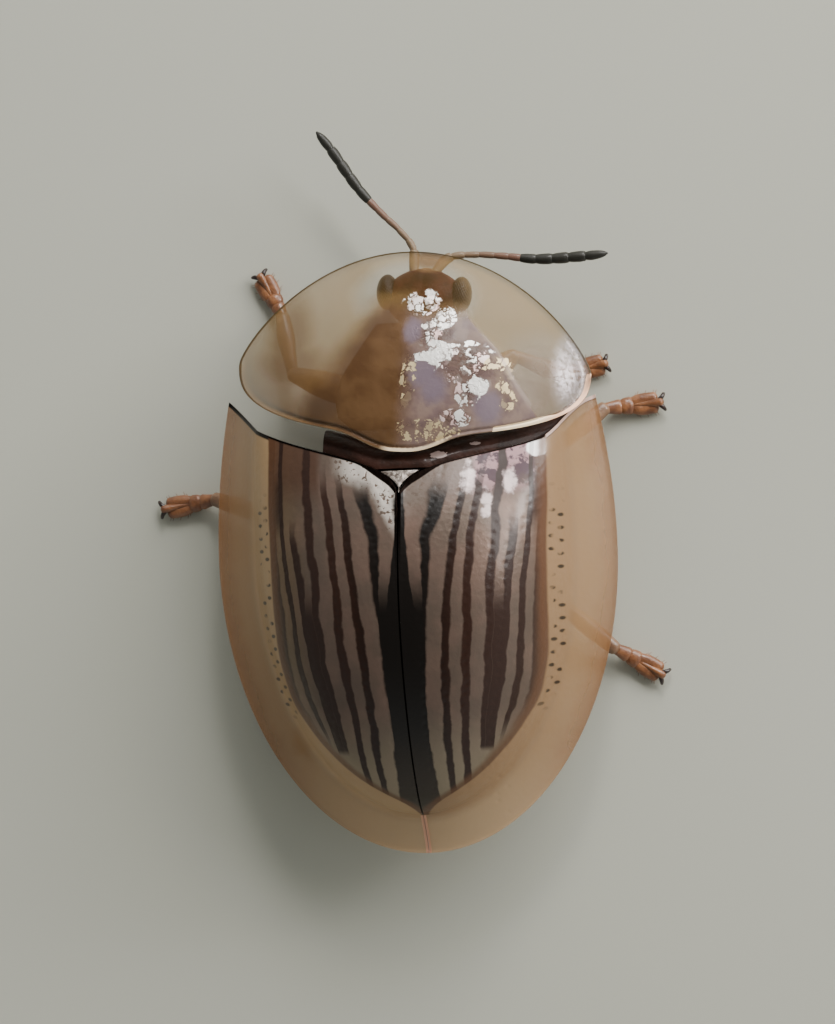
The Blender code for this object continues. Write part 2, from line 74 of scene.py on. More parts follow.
def lerp(a, b, share):
    return a + (b - a) * share


def smooth_step(low, high, value):
    share = np.clip((np.asarray(value, float) - low) / (high - low), 0, 1)
    return share * share * (3 - 2 * share)


def hump(centre, width, value):
    return np.exp(-(((np.asarray(value, float) - centre) / width) ** 2))


def eased(value, places, heights, reach=0.12):
    """A curve through a few places, its corners rounded off over the reach."""
    return sum(np.interp(value + shift, places, heights) for shift in np.linspace(-reach, reach, 7)) / 7


def relax(grid, rounds):
    """Smooths a grid of values inside its borders."""
    for _ in range(rounds):
        inner = grid[1:-1, 1:-1]
        around = grid[:-2, 1:-1] + grid[2:, 1:-1] + grid[1:-1, :-2] + grid[1:-1, 2:]
        grid[1:-1, 1:-1] = 0.5 * inner + 0.125 * around
    return grid


# %% [markdown]
# A piece is a list of points and faces. It could be made with Blender's edit operators, but those need a window
# and a selection, so the mesh is filled directly. Extra numbers for each point, such as how far a point is from
# the middle line, are stored as attributes, and the materials read them later to paint stripes exactly.

# %% Make a piece from arrays


def volume(points, faces):
    a = points[faces[:, 0]]
    total = 0.0
    for second in range(1, faces.shape[1] - 1):
        b, c = points[faces[:, second]], points[faces[:, second + 1]]
        total += np.einsum("ij,ij->i", a, np.cross(b, c)).sum()
    return total


def make_piece(name, points, faces, attributes=None, sharp=60):
    """A smooth mesh object from points in millimetres, its faces turned outwards."""
    points, faces = np.asarray(points, float).reshape(-1, 3), np.asarray(faces, int)
    if volume(points, faces) < 0:
        faces = faces[:, ::-1]
    mesh = bpy.data.meshes.new(name)
    mesh.from_pydata(((points + SHIFT) * MM).tolist(), [], faces.tolist())
    for key, values in (attributes or {}).items():
        layer = mesh.attributes.new(key, "FLOAT", "POINT")
        layer.data.foreach_set("value", np.asarray(values, np.float32).ravel())
    mesh.shade_smooth()
    mesh.set_sharp_from_angle(angle=math.radians(sharp))
    piece = bpy.data.objects.new(name, mesh)
    bpy.context.scene.collection.objects.link(piece)
    print(f"{name}: {len(points)} points, {len(faces)} faces")
    return piece


# %% [markdown]
# Two ways of joining points into faces cover nearly everything on an insect. A sheet has an outer and an inner
# grid with a wall round the border, as a wing case has. A tube has rings that close on themselves, as a leg has.

# %% Join grids and rings into faces


def grid_faces(rows, columns, closed=False):
    """Four-sided faces over a grid of points, which may close on itself sideways."""
    row, column = np.meshgrid(np.arange(rows - 1), np.arange(columns - (0 if closed else 1)), indexing="ij")
    following = (column + 1) % columns
    corners = [row * columns + column, row * columns + following, (row + 1) * columns + following,
               (row + 1) * columns + column]
    return np.stack([corner.ravel() for corner in corners], axis=1)


def sheet_faces(rows, columns):
    """Faces of a closed sheet whose outer grid of points is followed by its inner grid."""
    outer = grid_faces(rows, columns)
    inner = outer[:, ::-1] + rows * columns
    number = np.arange(rows * columns).reshape(rows, columns)
    border = np.concatenate([number[0], number[1:, -1], number[-1, -2::-1], number[-2:0:-1, 0]])
    following = np.roll(border, -1)
    wall = np.stack([following, border, border + rows * columns, following + rows * columns], axis=1)
    return np.concatenate([outer, inner, wall])


# %% [markdown]
# ## Writing shader maths as Python
# A material is a graph of nodes. Wiring it by hand takes many lines, so one small class wraps a socket, and
# arithmetic on it adds the Math nodes. `1 - mask` works because Python falls back to the reflected operator.
# Colours never go through a Math node, which would turn them grey: they are mixed with a Mix node.

# %% A socket that understands arithmetic


class Wire:
    """An output socket of a material's nodes, with Python's arithmetic on it."""

    def __init__(self, tree, socket=None):
        self.tree, self.socket = tree, socket

    def node(self, kind, settings=None, inputs=None, out=0):
        """Adds one node: its settings first, then the values or wires of its sockets."""
        made = self.tree.nodes.new(kind)
        for key, value in (settings or {}).items():
            setattr(made, key, value)
        for key, value in (inputs or {}).items():
            if isinstance(value, Wire):
                self.tree.links.new(value.socket, made.inputs[key])
            else:
                made.inputs[key].default_value = value
        return Wire(self.tree, made.outputs[out])

    def math(self, operation, *others):
        values = dict(enumerate((self, *others)))
        return self.node("ShaderNodeMath", {"operation": operation}, values)

    def __add__(self, other):
        return self.math("ADD", other)

    __radd__ = __add__

    def __mul__(self, other):
        return self.math("MULTIPLY", other)

    __rmul__ = __mul__

    def __sub__(self, other):
        return self.math("SUBTRACT", other)

    def __rsub__(self, other):
        return self.node("ShaderNodeMath", {"operation": "SUBTRACT"}, {0: other, 1: self})

    def __truediv__(self, other):
        return self.math("DIVIDE", other)

    def __abs__(self):
        return self.math("ABSOLUTE")

    def fraction(self):
        return self.math("FRACT")

    def step(self, low, high):
        """Rises smoothly from 0 at low to 1 at high."""
        return self.node("ShaderNodeMapRange", {"interpolation_type": "SMOOTHSTEP"}, {0: self, 1: low, 2: high})

    def band(self, low, high, soft=0.012):
        """1 between low and high, with soft edges."""
        return self.step(low - soft, low + soft) * (1 - self.step(high - soft, high + soft))

    def most(self, other):
        """The larger of two numbers."""
        return self.math("MAXIMUM", other)

    def blend(self, first, second):
        """The number first where this is 0 and second where it is 1."""
        return (1 - self) * first + self * second

    def mix(self, first, second):
        """The first colour where this is 0 and the second where it is 1."""
        return self.node("ShaderNodeMix", {"data_type": "RGBA"}, {0: self, 6: first, 7: second}, out=2)


# %% [markdown]
# Colours are picked as they look on a screen, in steps of 0 to 255, and a shader wants them linear. A texture's
# scale counts its features in one metre, so a function turns the size of a feature in millimetres into a scale.

# %% Colours and textures


def screen(red, green, blue):
    """A linear colour from the numbers seen on a screen."""
    linear = []
    for value in (red, green, blue):
        value /= 255
        linear.append(value / 12.92 if value <= 0.04045 else ((value + 0.055) / 1.055) ** 2.4)
    return (*linear, 1.0)


class Finish:
    """A material with one Principled shader and short names for what feeds it."""

    def __init__(self, name, roughness=0.3, coat=0.0, metallic=0.0, **constants):
        self.material = bpy.data.materials.new(name)
        self.material.use_nodes = True
        self.tree = self.material.node_tree
        self.shader = self.tree.nodes["Principled BSDF"]
        self.start = Wire(self.tree)
        self.shader.inputs["Roughness"].default_value = roughness
        self.shader.inputs["Coat Weight"].default_value = coat
        self.shader.inputs["Metallic"].default_value = metallic
        for key, value in constants.items():
            self.shader.inputs[key.replace("_", " ")].default_value = value
        self.place = self.start.node("ShaderNodeTexCoord", out=3)

    def position(self):
        """The place on the beetle as three numbers in its own frame, in mm."""
        parts = [self.start.node("ShaderNodeSeparateXYZ", {}, {0: self.place}, out) for out in range(3)]
        return [part * 1000 - float(shift) for part, shift in zip(parts, SHIFT)]

    def attribute(self, name):
        return self.start.node("ShaderNodeAttribute", {"attribute_name": name}, out=2)

    def noise(self, size, detail=3.0, roughness=0.55, out=0):
        values = {"Vector": self.place, "Scale": 1000 / size, "Detail": detail, "Roughness": roughness}
        return self.start.node("ShaderNodeTexNoise", {}, values, out)

    def warped(self, size, reach):
        """The place on the piece, pushed about by noise as far as reach, in mm."""
        push = self.start.node("ShaderNodeVectorMath", {"operation": "SUBTRACT"},
                               {0: self.noise(size, 2.0, out=1), 1: (0.5, 0.5, 0.5)})
        push = self.start.node("ShaderNodeVectorMath", {"operation": "MULTIPLY"}, {0: push, 1: (reach * MM,) * 3})
        return self.start.node("ShaderNodeVectorMath", {"operation": "ADD"}, {0: self.place, 1: push})

    def cells(self, size, feature="F1", place=None, out=0):
        values = {"Vector": place or self.place, "Scale": 1000 / size}
        return self.start.node("ShaderNodeTexVoronoi", {"feature": feature}, values, out)

    def feed(self, **wires):
        for key, wire in wires.items():
            self.tree.links.new(wire.socket, self.shader.inputs[key.replace("_", " ")])

    def bump(self, height, depth):
        """Relief of the given depth in millimetres where height is 1."""
        values = {"Height": height, "Distance": depth * MM, "Strength": 1.0}
        self.feed(Normal=self.start.node("ShaderNodeBump", {}, values))


# %% [markdown]
# ## The camera
# The photograph looks almost straight down, tipped a little to the beetle's right side. A long lens from six
# centimetres away flattens the perspective as a close-up lens does. At this scale the camera must be told to
# show things nearer than ten centimetres, or the whole beetle would be cut off.

# %% Camera
FRAME_HEIGHT = 11.26      # what the picture covers from top to bottom, in mm
DISTANCE = 60.0
TIP = math.radians(8.6)
TARGET = Vector((0.003, -0.441, 0.65)) + Vector(SHIFT)
PICTURE_UP = Vector((-0.0398, -0.9992, 0))    # the head points almost straight up in the picture
CLIP_NEAR, CLIP_FAR = 0.001, 10.0             # in metres
SENSOR_WIDTH = 36.0


def place_camera():
    data = bpy.data.cameras.new("camera")
    data.sensor_width = SENSOR_WIDTH
    data.lens = data.sensor_width * DISTANCE / FRAME_HEIGHT
    data.clip_start, data.clip_end = CLIP_NEAR, CLIP_FAR
    camera = bpy.data.objects.new("camera", data)
    bpy.context.scene.collection.objects.link(camera)
    back = Vector((-math.sin(TIP), 0, math.cos(TIP)))
    right = PICTURE_UP.cross(back).normalized()
    up = back.cross(right)
    turn = Matrix((right, up, back)).transposed().to_4x4()
    camera.matrix_world = Matrix.Translation((TARGET + back * DISTANCE) * MM) @ turn
    bpy.context.scene.camera = camera
    print("lens", round(data.lens, 1), "mm at", DISTANCE, "mm")


place_camera()

# %% [markdown]
# ## Wing cases
# A tortoise beetle's wing case is a high dome over the body that turns outwards into a thin clear brim. The
# dome's height follows one curve along the middle line and another across it. A subdivision cage would give
# the form too, but stripes, pits and brim all have to follow it, so the form is written as a function of two
# numbers: one runs from shoulder to tail, the other from the middle line to the rim. The two cases are alike
# but in front, where the left shoulder lies further forward and the right corner reaches under the shield.

# %% Shape of the wing cases
SEAM = 0.08               # the gap that the solids of the frame keep
HALF_SEAM = SEAM / 2
RIM_Z, CREST_RISE = 0.80, 1.48
RIM_HALF, RIM_FRONT = 2.21, (2.03, -1.64)
DISC_HALF, DISC_END, DISC_FRONT = 1.70, 2.85, (1.66, -1.33)
FRONT_SKEW = 0.072        # the left shoulder lies a little further forward than the right one
SUTURE_FRONT, BASE_BULGE, BULGE_RISE, BULGE_FALL = -0.58, 0.535, 0.345, 1.76
DOME_POWER, DOME_ROUND, MARGIN_HOLLOW = 2.6, 0.75, 1.35
EDGE_RISE, EDGE_RISE_TAIL = 0.45, 0.34
CREST_Y, CREST_FRONT_DROP, CREST_POWER = 0.55, 0.46, 1.8
CORNER_PLACES = (-0.40, -0.10, 0.00, 0.25, 0.50, 0.77, 1.00)     # in widths of the brim, from the dome's edge
CORNER_FORWARD = (0.0, 0.050, 0.085, 0.115, 0.140, 0.137, 0.090)  # the right case's corner tucks under the shield
FRONT_SHARE = 0.20        # the share of a grid's rows that lies ahead of the widest place
CASE_GAP = 0.004          # the two cases nearly touch along the middle line


def crest_rise(y):
    """Height of the middle line above the rim."""
    ahead = CREST_RISE - CREST_FRONT_DROP * (np.clip(CREST_Y - y, 0, None) / (CREST_Y + 1)) ** 2
    along = np.clip((y - CREST_Y) / (DISC_END - CREST_Y), 0, 1)
    behind = EDGE_RISE_TAIL + (CREST_RISE - EDGE_RISE_TAIL) * (1 - along**CREST_POWER) ** DOME_ROUND
    return np.where(y < CREST_Y, ahead, behind)


def dome(u):
    return (1 - np.clip(np.abs(u), 0, 1) ** DOME_POWER) ** DOME_ROUND


def base_bulge(u):
    return BASE_BULGE * u**BULGE_RISE * (1 - u) ** BULGE_FALL


def corner_forward(x):
    """How far forward the right case's front edge is drawn near its corner."""
    return eased((x - DISC_FRONT[0]) / (RIM_FRONT[0] - DISC_FRONT[0]), CORNER_PLACES, CORNER_FORWARD)


def case_surface(rows=260, disc_columns=92, brim_columns=36):
    """The upper surface of a wing case, where each point lies on it, and its share of the way to the front."""
    t = np.linspace(0, 1, rows)[:, None]
    ahead = np.clip(1 - t / FRONT_SHARE, 0, None)
    turn = np.clip((t - FRONT_SHARE) / (1 - FRONT_SHARE), 0, 1) * math.pi / 2
    sine, cosine = np.sin(turn), np.clip(np.cos(turn), 0, None)
    behind = turn > 0
    suture_y = np.where(behind, DISC_END * sine, SUTURE_FRONT * ahead)
    disc_x = CASE_GAP + (lerp(DISC_HALF, DISC_FRONT[0], ahead**2) - CASE_GAP) * cosine
    disc_y = np.where(behind, DISC_END * sine, DISC_FRONT[1] * ahead)
    rim_x = CASE_GAP + (lerp(RIM_HALF, RIM_FRONT[0], ahead**2) - CASE_GAP) * cosine
    rim_y = np.where(behind, SHELL_END * sine, RIM_FRONT[1] * ahead)
    edge = RIM_Z + lerp(EDGE_RISE, EDGE_RISE_TAIL, sine**2)
    u = np.linspace(0, 1, disc_columns, endpoint=False)[None, :]
    v = np.linspace(0, 1, brim_columns)[None, :]
    y = lerp(suture_y, disc_y, u) - ahead**3 * base_bulge(u)
    disc = (lerp(CASE_GAP, disc_x, u), y, edge + (RIM_Z + crest_rise(y) - edge) * dome(u))
    brim = (lerp(disc_x, rim_x, v), lerp(disc_y, rim_y, v), RIM_Z + (edge - RIM_Z) * (1 - v) ** MARGIN_HOLLOW)
    x, y, z = (np.concatenate(np.broadcast_arrays(a) + np.broadcast_arrays(b), axis=1) for a, b in zip(disc, brim))
    across = np.concatenate([np.broadcast_to(u, (rows, disc_columns)), np.ones((rows, brim_columns))], axis=1)
    flare = np.concatenate([np.zeros((rows, disc_columns)), np.broadcast_to(v, (rows, brim_columns))], axis=1)
    return x, y, relax(z, 14), across, flare, np.broadcast_to(ahead, x.shape)


case = case_surface()
print("wing case grid:", case[0].shape, "highest", round(float(case[2].max()), 3), "mm")

# %% [markdown]
# The dark lines run along the back, bend outwards beside the small triangle and end at the dome's edge near the
# tail. A short table gives how far from the middle line each of them lies at eleven places, and numpy turns it
# into one number for every point: 0 on the middle line, 3 on the second line. The striped part ends at an edge of
# its own, which cuts the lines off near the tail.

# %% Where the lines of the pattern lie
LINES_AT = (-0.95, -0.55, -0.15, 0.30, 0.70, 1.15, 1.60, 2.02, 2.35, 2.58, 2.80)
LINES = {
    "dark middle": (0.030, 0.035, 0.060, 0.110, 0.200, 0.200, 0.180, 0.170, 0.175, 0.190, 0.200),
    "band line": (0.600, 0.457, 0.324, 0.304, 0.252, 0.222, 0.196, 0.188, 0.194, 0.205, 0.220),
    "second line": (0.720, 0.643, 0.580, 0.523, 0.470, 0.450, 0.410, 0.398, 0.385, 0.375, 0.370),
    "third line": (0.880, 0.817, 0.755, 0.715, 0.700, 0.671, 0.617, 0.590, 0.560, 0.530, 0.510),
    "broad inside": (1.040, 1.000, 0.960, 0.900, 0.900, 0.876, 0.807, 0.742, 0.700, 0.680, 0.660),
    "broad outside": (1.260, 1.240, 1.220, 1.160, 1.120, 1.063, 0.972, 0.865, 0.800, 0.760, 0.740),
    "sixth line": (1.370, 1.360, 1.330, 1.270, 1.230, 1.195, 1.110, 0.930, 0.850, 0.800, 0.780),
    "seventh line": (1.480, 1.480, 1.460, 1.410, 1.390, 1.370, 1.270, 1.010, 0.900, 0.840, 0.820),
    "eighth line": (1.600, 1.610, 1.590, 1.570, 1.560, 1.530, 1.390, 1.080, 0.950, 0.880, 0.860),
}
STRIPED_EDGE = (1.510, 1.515, 1.500, 1.490, 1.480, 1.455, 1.340, 1.055, 0.745, 0.430, 0.010)
PATTERN_SLIP = 0.02       # the pattern lies a little towards the animal's right


def line_number(x, y, side=0):
    """Counts the lines crossed on the way out from the middle line, and millimetres after the last one."""
    x = x + side * PATTERN_SLIP
    number, inner = np.zeros_like(x), np.zeros_like(x)
    for widths in LINES.values():
        outer = eased(y, LINES_AT, widths)
        number += np.clip((x - inner) / np.maximum(outer - inner, 1e-4), 0, 1)
        inner = outer
    return number + np.maximum(x - inner, 0)


def past_edge(x, y, side=0):
    """How far outside the striped part each point lies, in mm."""
    return x + side * PATTERN_SLIP - eased(y, LINES_AT, STRIPED_EDGE)


# %% [markdown]
# Rows of fine pits follow the dark lines, as they do on the real wing case. Each pit is pressed into the grid of
# heights as a small round dent, placed with a little disorder.

# %% Press the pits into the dome
PITS = {"radius": 0.020, "depth": 0.005, "spacing": 0.105, "first": -1.0, "last": 2.6}
PIT_ROWS = (1.8, 3.0, 4.0, 5.2, 5.8, 7.0, 8.0, 9.04)     # counted in lines from the middle line
PIT_DISORDER = (0.012, 0.015)                            # across and along
MIDDLE_COLUMN = 40                                       # a column of the grid well inside the dome


def sink_pits(x, y, z):
    random = np.random.default_rng(7)
    number, sunk = line_number(x, y), z.copy()
    for line in PIT_ROWS:
        for along in np.arange(PITS["first"], PITS["last"], PITS["spacing"]):
            row = np.abs(y[:, MIDDLE_COLUMN] - along).argmin()
            column = np.abs(number[row] - line).argmin()
            centre_x = x[row, column] + random.normal(0, PIT_DISORDER[0])
            centre_y = y[row, column] + random.normal(0, PIT_DISORDER[1])
            near = (x - centre_x) ** 2 + (y - centre_y) ** 2
            sunk -= PITS["depth"] * np.exp(-near / PITS["radius"] ** 2)
    return sunk


pitted = sink_pits(*case[:3])
print("pits pressed in, the deepest", round(float((case[2] - pitted).max()), 3), "mm")

# %% [markdown]
# The cuticle is thicker over the body and paper thin in the brim. Each case is a closed sheet: the upper
# surface, the same surface moved down by its thickness, and a wall along the border.

# %% Build the wing cases
DOME_THICK, BRIM_THICK, RIM_THINNER, RIM_BEAD = 0.16, 0.055, 0.02, 0.012


def build_case(name, side):
    x, y, _, across, flare_share, ahead = case
    y = y - side * FRONT_SKEW * x / DISC_FRONT[0] * ahead**2 - (side < 0) * corner_forward(x) * ahead**4
    z = pitted + RIM_BEAD * hump(1.0, 0.05, flare_share)
    thick = lerp(DOME_THICK, BRIM_THICK, smooth_step(0.55, 1.0, across)) - RIM_THINNER * flare_share
    steps = np.sqrt(np.diff(x, axis=0) ** 2 + np.diff(y, axis=0) ** 2 + np.diff(z, axis=0) ** 2)
    from_front = np.vstack([np.zeros(x.shape[1]), np.cumsum(steps, axis=0)])
    outer = np.stack([side * x, y, z], axis=2)
    inner = np.stack([side * x, y, z - thick], axis=2)
    points = np.concatenate([outer.reshape(-1, 3), inner.reshape(-1, 3)])
    attributes = {
        "stripe": np.tile(line_number(x, y, side).ravel(), 2),
        "past_edge": np.tile(past_edge(x, y, side).ravel(), 2),
        "from_tail": np.tile((SHELL_END - y).ravel(), 2),
        "flare": np.tile(flare_share.ravel(), 2),
        "from_front": np.tile(from_front.ravel(), 2),
        "from_suture": np.tile(x.ravel(), 2),
        "side": np.full(2 * x.size, side),
    }
    piece = make_piece(name, points, sheet_faces(*x.shape), attributes)
    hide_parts(name.removesuffix("_shell"))
    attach(piece, "root")
    return piece


cases = [build_case("elytron_left_shell", 1), build_case("elytron_right_shell", -1)]

# %% [markdown]
# ## The striped finish
# Under a clear gloss the real wing case has dark brown lines of uneven width on a silvery, faintly pink ground,
# and a clear amber brim with two broken rows of dark pits. Painting it as a picture would tie it to one view,
# so each line is a band of the stripe number, made a little wavy by noise. Some light is painted in too: the
# white patches on the right shoulder are painted highlights, the silver beside the V on the left and the paler
# ground towards the tail are partly painted reflection, and the brim is painted paler at the tail and darker on
# the right case, as painted light and shade.

# %% Striped finish of the wing cases
DARK = screen(46, 24, 15)
BLACK = screen(15, 9, 6)
PALE = screen(100, 85, 75)
PALE_ROSE = screen(117, 95, 84)
BEIGE_AND_SHEEN = screen(150, 136, 114)
SILVER_SHEEN = screen(214, 204, 194)
PEARL_GLINT = screen(236, 216, 214)
VIOLET = screen(72, 42, 58)
ROSE = screen(192, 150, 154)
SHOULDER = screen(82, 54, 40)
OLIVE = screen(112, 90, 58)
CREAM = screen(188, 154, 114)
CREAM_SHADED_RIGHT = screen(162, 128, 94)
AMBER = screen(176, 136, 94)
AMBER_DEEP = screen(160, 114, 74)
EDGE_BROWN = screen(104, 68, 44)
MIDDLE_TAIL = screen(52, 42, 33)
JOINT_BLACK = screen(14, 9, 7)
GLEAM_HIGHLIGHT = screen(255, 252, 248)
TAIL_CREAM_LIGHT = screen(214, 178, 134)
FRONT_PINK = screen(214, 180, 166)
SLIT_PINK = screen(214, 160, 132)
# Where the painted highlights lie on the right shoulder, as distance from the middle line and from the tail.
PEARL_GLINT_PLACES = (((0.74, 4.09), (0.08, 0.19)), ((0.94, 3.80), (0.065, 0.19)), ((1.18, 4.05), (0.08, 0.14)),
                ((1.47, 4.40), (0.17, 0.14)))


def patch(x, y, centre, size, soft=0.6):
    """A soft oval patch round a place given by two distances, in mm."""
    across, along = (x - centre[0]) / size[0], (y - centre[1]) / size[1]
    return 1 - (across * across + along * along).math("SQRT").step(1 - soft, 1 + soft)


def patches(x, y, places, soft=0.6):
    """The strongest of several patches, each given as its middle and its size."""
    shape = patch(x, y, *places[0], soft)
    for place in places[1:]:
        shape = shape.most(patch(x, y, *place, soft))
    return shape


def pit_row(past, along, centre, phase):
    """A row of small dark spots so far outside the striped part, a seventh of a millimetre apart."""
    place = (along / 0.14 + phase).fraction() - 0.5
    off_line = (past - centre) * 11
    distance = (place * place * 5 + off_line * off_line).math("SQRT")
    return 1 - distance.step(0.2, 0.45)


def dark_lines(line, along):
    """Where the wing case is dark: the band along the middle and the lines beside it."""
    band = (1 - line.step(0.92, 1.08)).most((1 - line.step(1.95, 2.1)) * (1 - along.step(2.65, 3.3)))
    lines = [
        line.band(1.62, 2.05, 0.08) * (1 - (along + line * 0.15).step(4.1, 4.45)),
        line.band(2.78, 3.20, 0.06) * (1 - (along + line * 0.15).step(4.3, 4.75)),
        line.band(3.76, 4.22, 0.06) * (1 - (along + line * 0.15).step(4.5, 4.95)),
        line.band(4.95, 5.35, 0.06) * along.step(1.12, 1.2),
        line.band(5.3, 6.0, 0.06) * along.step(1.12, 1.2) * (1 - along.step(2.6, 3.1)),
        line.band(5.72, 6.12, 0.06) * along.step(1.12, 1.2) * (1 - along.step(3.4, 3.8)),
        line.band(6.8, 7.25, 0.06) * along.step(1.15, 1.5),
        line.band(7.75, 8.45, 0.08) * along.step(1.3, 1.8) * 0.9,
    ]
    for more in lines:
        band = band.most(more)
    return band


def striped_finish():
    made = Finish("striped_shell", roughness=0.36, coat=0.4, Coat_Roughness=0.13, Specular_IOR_Level=0.25)
    along, brim = made.attribute("from_tail"), made.attribute("flare")
    from_front, from_suture = made.attribute("from_front"), made.attribute("from_suture")
    left = made.attribute("side").step(-0.5, 0.5)
    wave = (made.noise(0.40, 2.0) - 0.5) * 0.5 + (made.noise(0.09, 2.0) - 0.5) * 0.12
    number = made.attribute("stripe")
    line = number + wave * (1 - number.step(8.4, 8.9) * 0.9)
    past = made.attribute("past_edge") + wave * 0.03
    on_brim = past.step(0.0, 0.03).most(brim.step(0.01, 0.05))
    cloud = made.noise(0.5, 4.0)
    ground = cloud.step(0.35, 0.7).mix(PALE, PALE_ROSE)
    # Towards the tail the ground turns paler beige: partly its own tone, partly a painted reflection of the pale
    # floor.
    ground = ((1 - along.step(0.8, 1.7)) * 0.8).mix(ground, BEIGE_AND_SHEEN)
    ground = (from_suture.step(0.9, 1.4) * left * 0.55).mix(ground, OLIVE)
    shoulder = along.step(3.7, 4.2) * line.band(4.3, 9.2, 0.3)
    ground = (shoulder * 0.8).mix(ground, SHOULDER)
    ground = (along.band(3.6, 4.15, 0.12) * line.band(6.9, 8.2, 0.3) * 0.8).mix(ground, DARK)
    speck = made.noise(0.05, 2.0) + (cloud - 0.5) * 0.2
    # A silvery patch beside the V on the left: partly the shell's own silver, partly a painted reflection.
    reach = from_suture.step(0.05, 0.35).blend(0.56, 0.26)
    silver_sheen = (1 - (from_front - reach + (cloud - 0.5) * 0.4).step(-0.16, 0.10)) * (1 - from_suture.step(0.5, 0.8))
    silver_sheen = silver_sheen * speck.step(0.36, 0.44) * (left * 0.85 + 0.05)
    ground = silver_sheen.mix(ground, SILVER_SHEEN)
    violet = (1 - from_front.step(0.30, 0.60)) * from_suture.band(0.80, 1.42, 0.06)
    violet = violet * (1 - left) * cloud.step(0.3, 0.5)
    ground = (violet * 0.85).mix(ground, made.noise(0.13, 3.0).step(0.46, 0.56).mix(VIOLET, ROSE))
    # Pearly white patches and one brightest spot on the right shoulder: painted highlights.
    torn = (made.noise(0.11, 3.0) - 0.5) * 2.2
    zone = patches(from_suture, along, PEARL_GLINT_PLACES, 0.7)
    pearl_glint = (zone + torn).step(0.40, 1.0) * zone.step(0.05, 0.3) * (1 - left) * 0.7
    gleam_highlight = (patch(from_suture, along, (1.46, 4.40), (0.11, 0.10), 0.7) + torn * 0.3).step(0.25, 0.5) * (1 - left)
    pearl_glint = pearl_glint.most(gleam_highlight * zone.step(0.0, 0.1))
    ground = pearl_glint.mix(ground, gleam_highlight.mix(PEARL_GLINT, GLEAM_HIGHLIGHT))
    bright = silver_sheen.most(pearl_glint)
    dark = dark_lines(line, along)
    joint = 1 - (from_front - (1 - from_suture.step(0.18, 0.5)) * 0.070).step(0.013, 0.029)
    joint = joint.most((1 - from_suture.step(0.024, 0.042)) * along.step(3.0, 3.7))
    joint = joint.most(1 - from_suture.step(0.005, 0.013))
    dark = dark.most(joint)
    dark = dark * (1 - pearl_glint * 0.7)
    middle = (1 - along.step(0.7, 1.5)).mix(BLACK, MIDDLE_TAIL)
    stripes = dark.mix(ground, line.step(1.5, 4.0).mix(middle, DARK))
    stripes = ((past + wave * 0.1).step(-0.13, -0.02) * 0.8).mix(stripes, EDGE_BROWN)
    stripes = joint.mix(stripes, JOINT_BLACK)
    # The inner brim of the right case is painted darker than the left one: painted shade against the lamp on that
    # side.
    inner_brim = brim.step(0.02, 0.30).mix(left.mix(CREAM_SHADED_RIGHT, CREAM), AMBER)
    brim_colour = (brim + (cloud - 0.5) * 0.5).step(0.45, 1.0).mix(inner_brim, AMBER_DEEP)
    # The brim is painted paler towards the tail: painted light where the lamp leaves it in shade.
    tail_light = (1 - along.step(0.1, 1.4)) * (brim.step(0.0, 0.3) * 0.75 + 0.15)
    brim_colour = tail_light.mix(brim_colour, TAIL_CREAM_LIGHT)
    spots = pit_row(past, along, 0.06, 0.0).most(pit_row(past, along, 0.14, 0.4)) * along.band(1.55, 3.9, 0.2)
    spots = spots * made.noise(0.2, 1.0).step(0.42, 0.55)
    front_line = 1 - from_front.step(0.035, 0.055)
    front_colour = (left.most(from_front.step(0.032, 0.042))).mix(FRONT_PINK, BLACK)
    slit = (1 - from_suture.step(0.026, 0.034)) * brim.step(0.02, 0.05)
    brim_colour = slit.mix(front_line.mix(brim_colour, front_colour), SLIT_PINK)
    colour = (spots * 0.9).mix(on_brim.mix(stripes, brim_colour), BLACK)
    made.feed(Base_Color=colour)
    matt = (1 - from_front.step(0.35, 0.75)) * (1 - left) * (1 - pearl_glint)
    matt = matt.most(from_suture.step(1.0, 1.4) * left * (1 - on_brim))
    made.feed(Metallic=((1 - dark) * (1 - on_brim) * (1 - matt) * 0.35).most(joint * (1 - on_brim)))
    made.feed(Coat_Weight=(0.32 - on_brim * 0.17) * (1 - joint) * (1 - matt * 0.75))
    clear = on_brim * (brim.step(0.0, 0.2) * 0.26 + 0.16)
    made.feed(Alpha=1 - clear * (1 - spots.most(front_line).most(slit)))
    made.bump(made.noise(0.05, 3.0) * 0.4 + made.cells(0.06) * 0.3 + bright * 0.3, 0.005)
    return made.material


shell_material = striped_finish()
for piece in cases:
    piece.data.materials.append(shell_material)
print("striped finish on", len(cases), "pieces")

# %% [markdown]
# ## The shield
# The pronotum covers head and neck like a clear visor: a broad flat ellipse with a lobe at the back, thickest
# in the middle. Its outline has a different curve in front and behind, so its points run round the outline in
# spokes and come inwards in rings. It is turned a few degrees, because the beetle looks to its right.

# %% Shape of the shield
SHIELD_HALF, SHIELD_X, SHIELD_WIDEST_Y, SHIELD_CENTRE_Y = 1.945, -0.015, -2.02, -2.05
SHIELD_FRONT, SHIELD_BACK = (1.275, 1.585), (0.74, 0.70)  # reach and taper of each half of the outline
SHIELD_LOBE, SHIELD_LOBE_HALF, SHIELD_LOBE_POWER = 0.176, 0.505, 2.8
SHIELD_RISE, SHIELD_RIM_RISE = 0.85, 0.18
SHIELD_YAW, SHIELD_PIVOT = math.radians(-4.3), np.array([0.05, -1.20, 0.0])


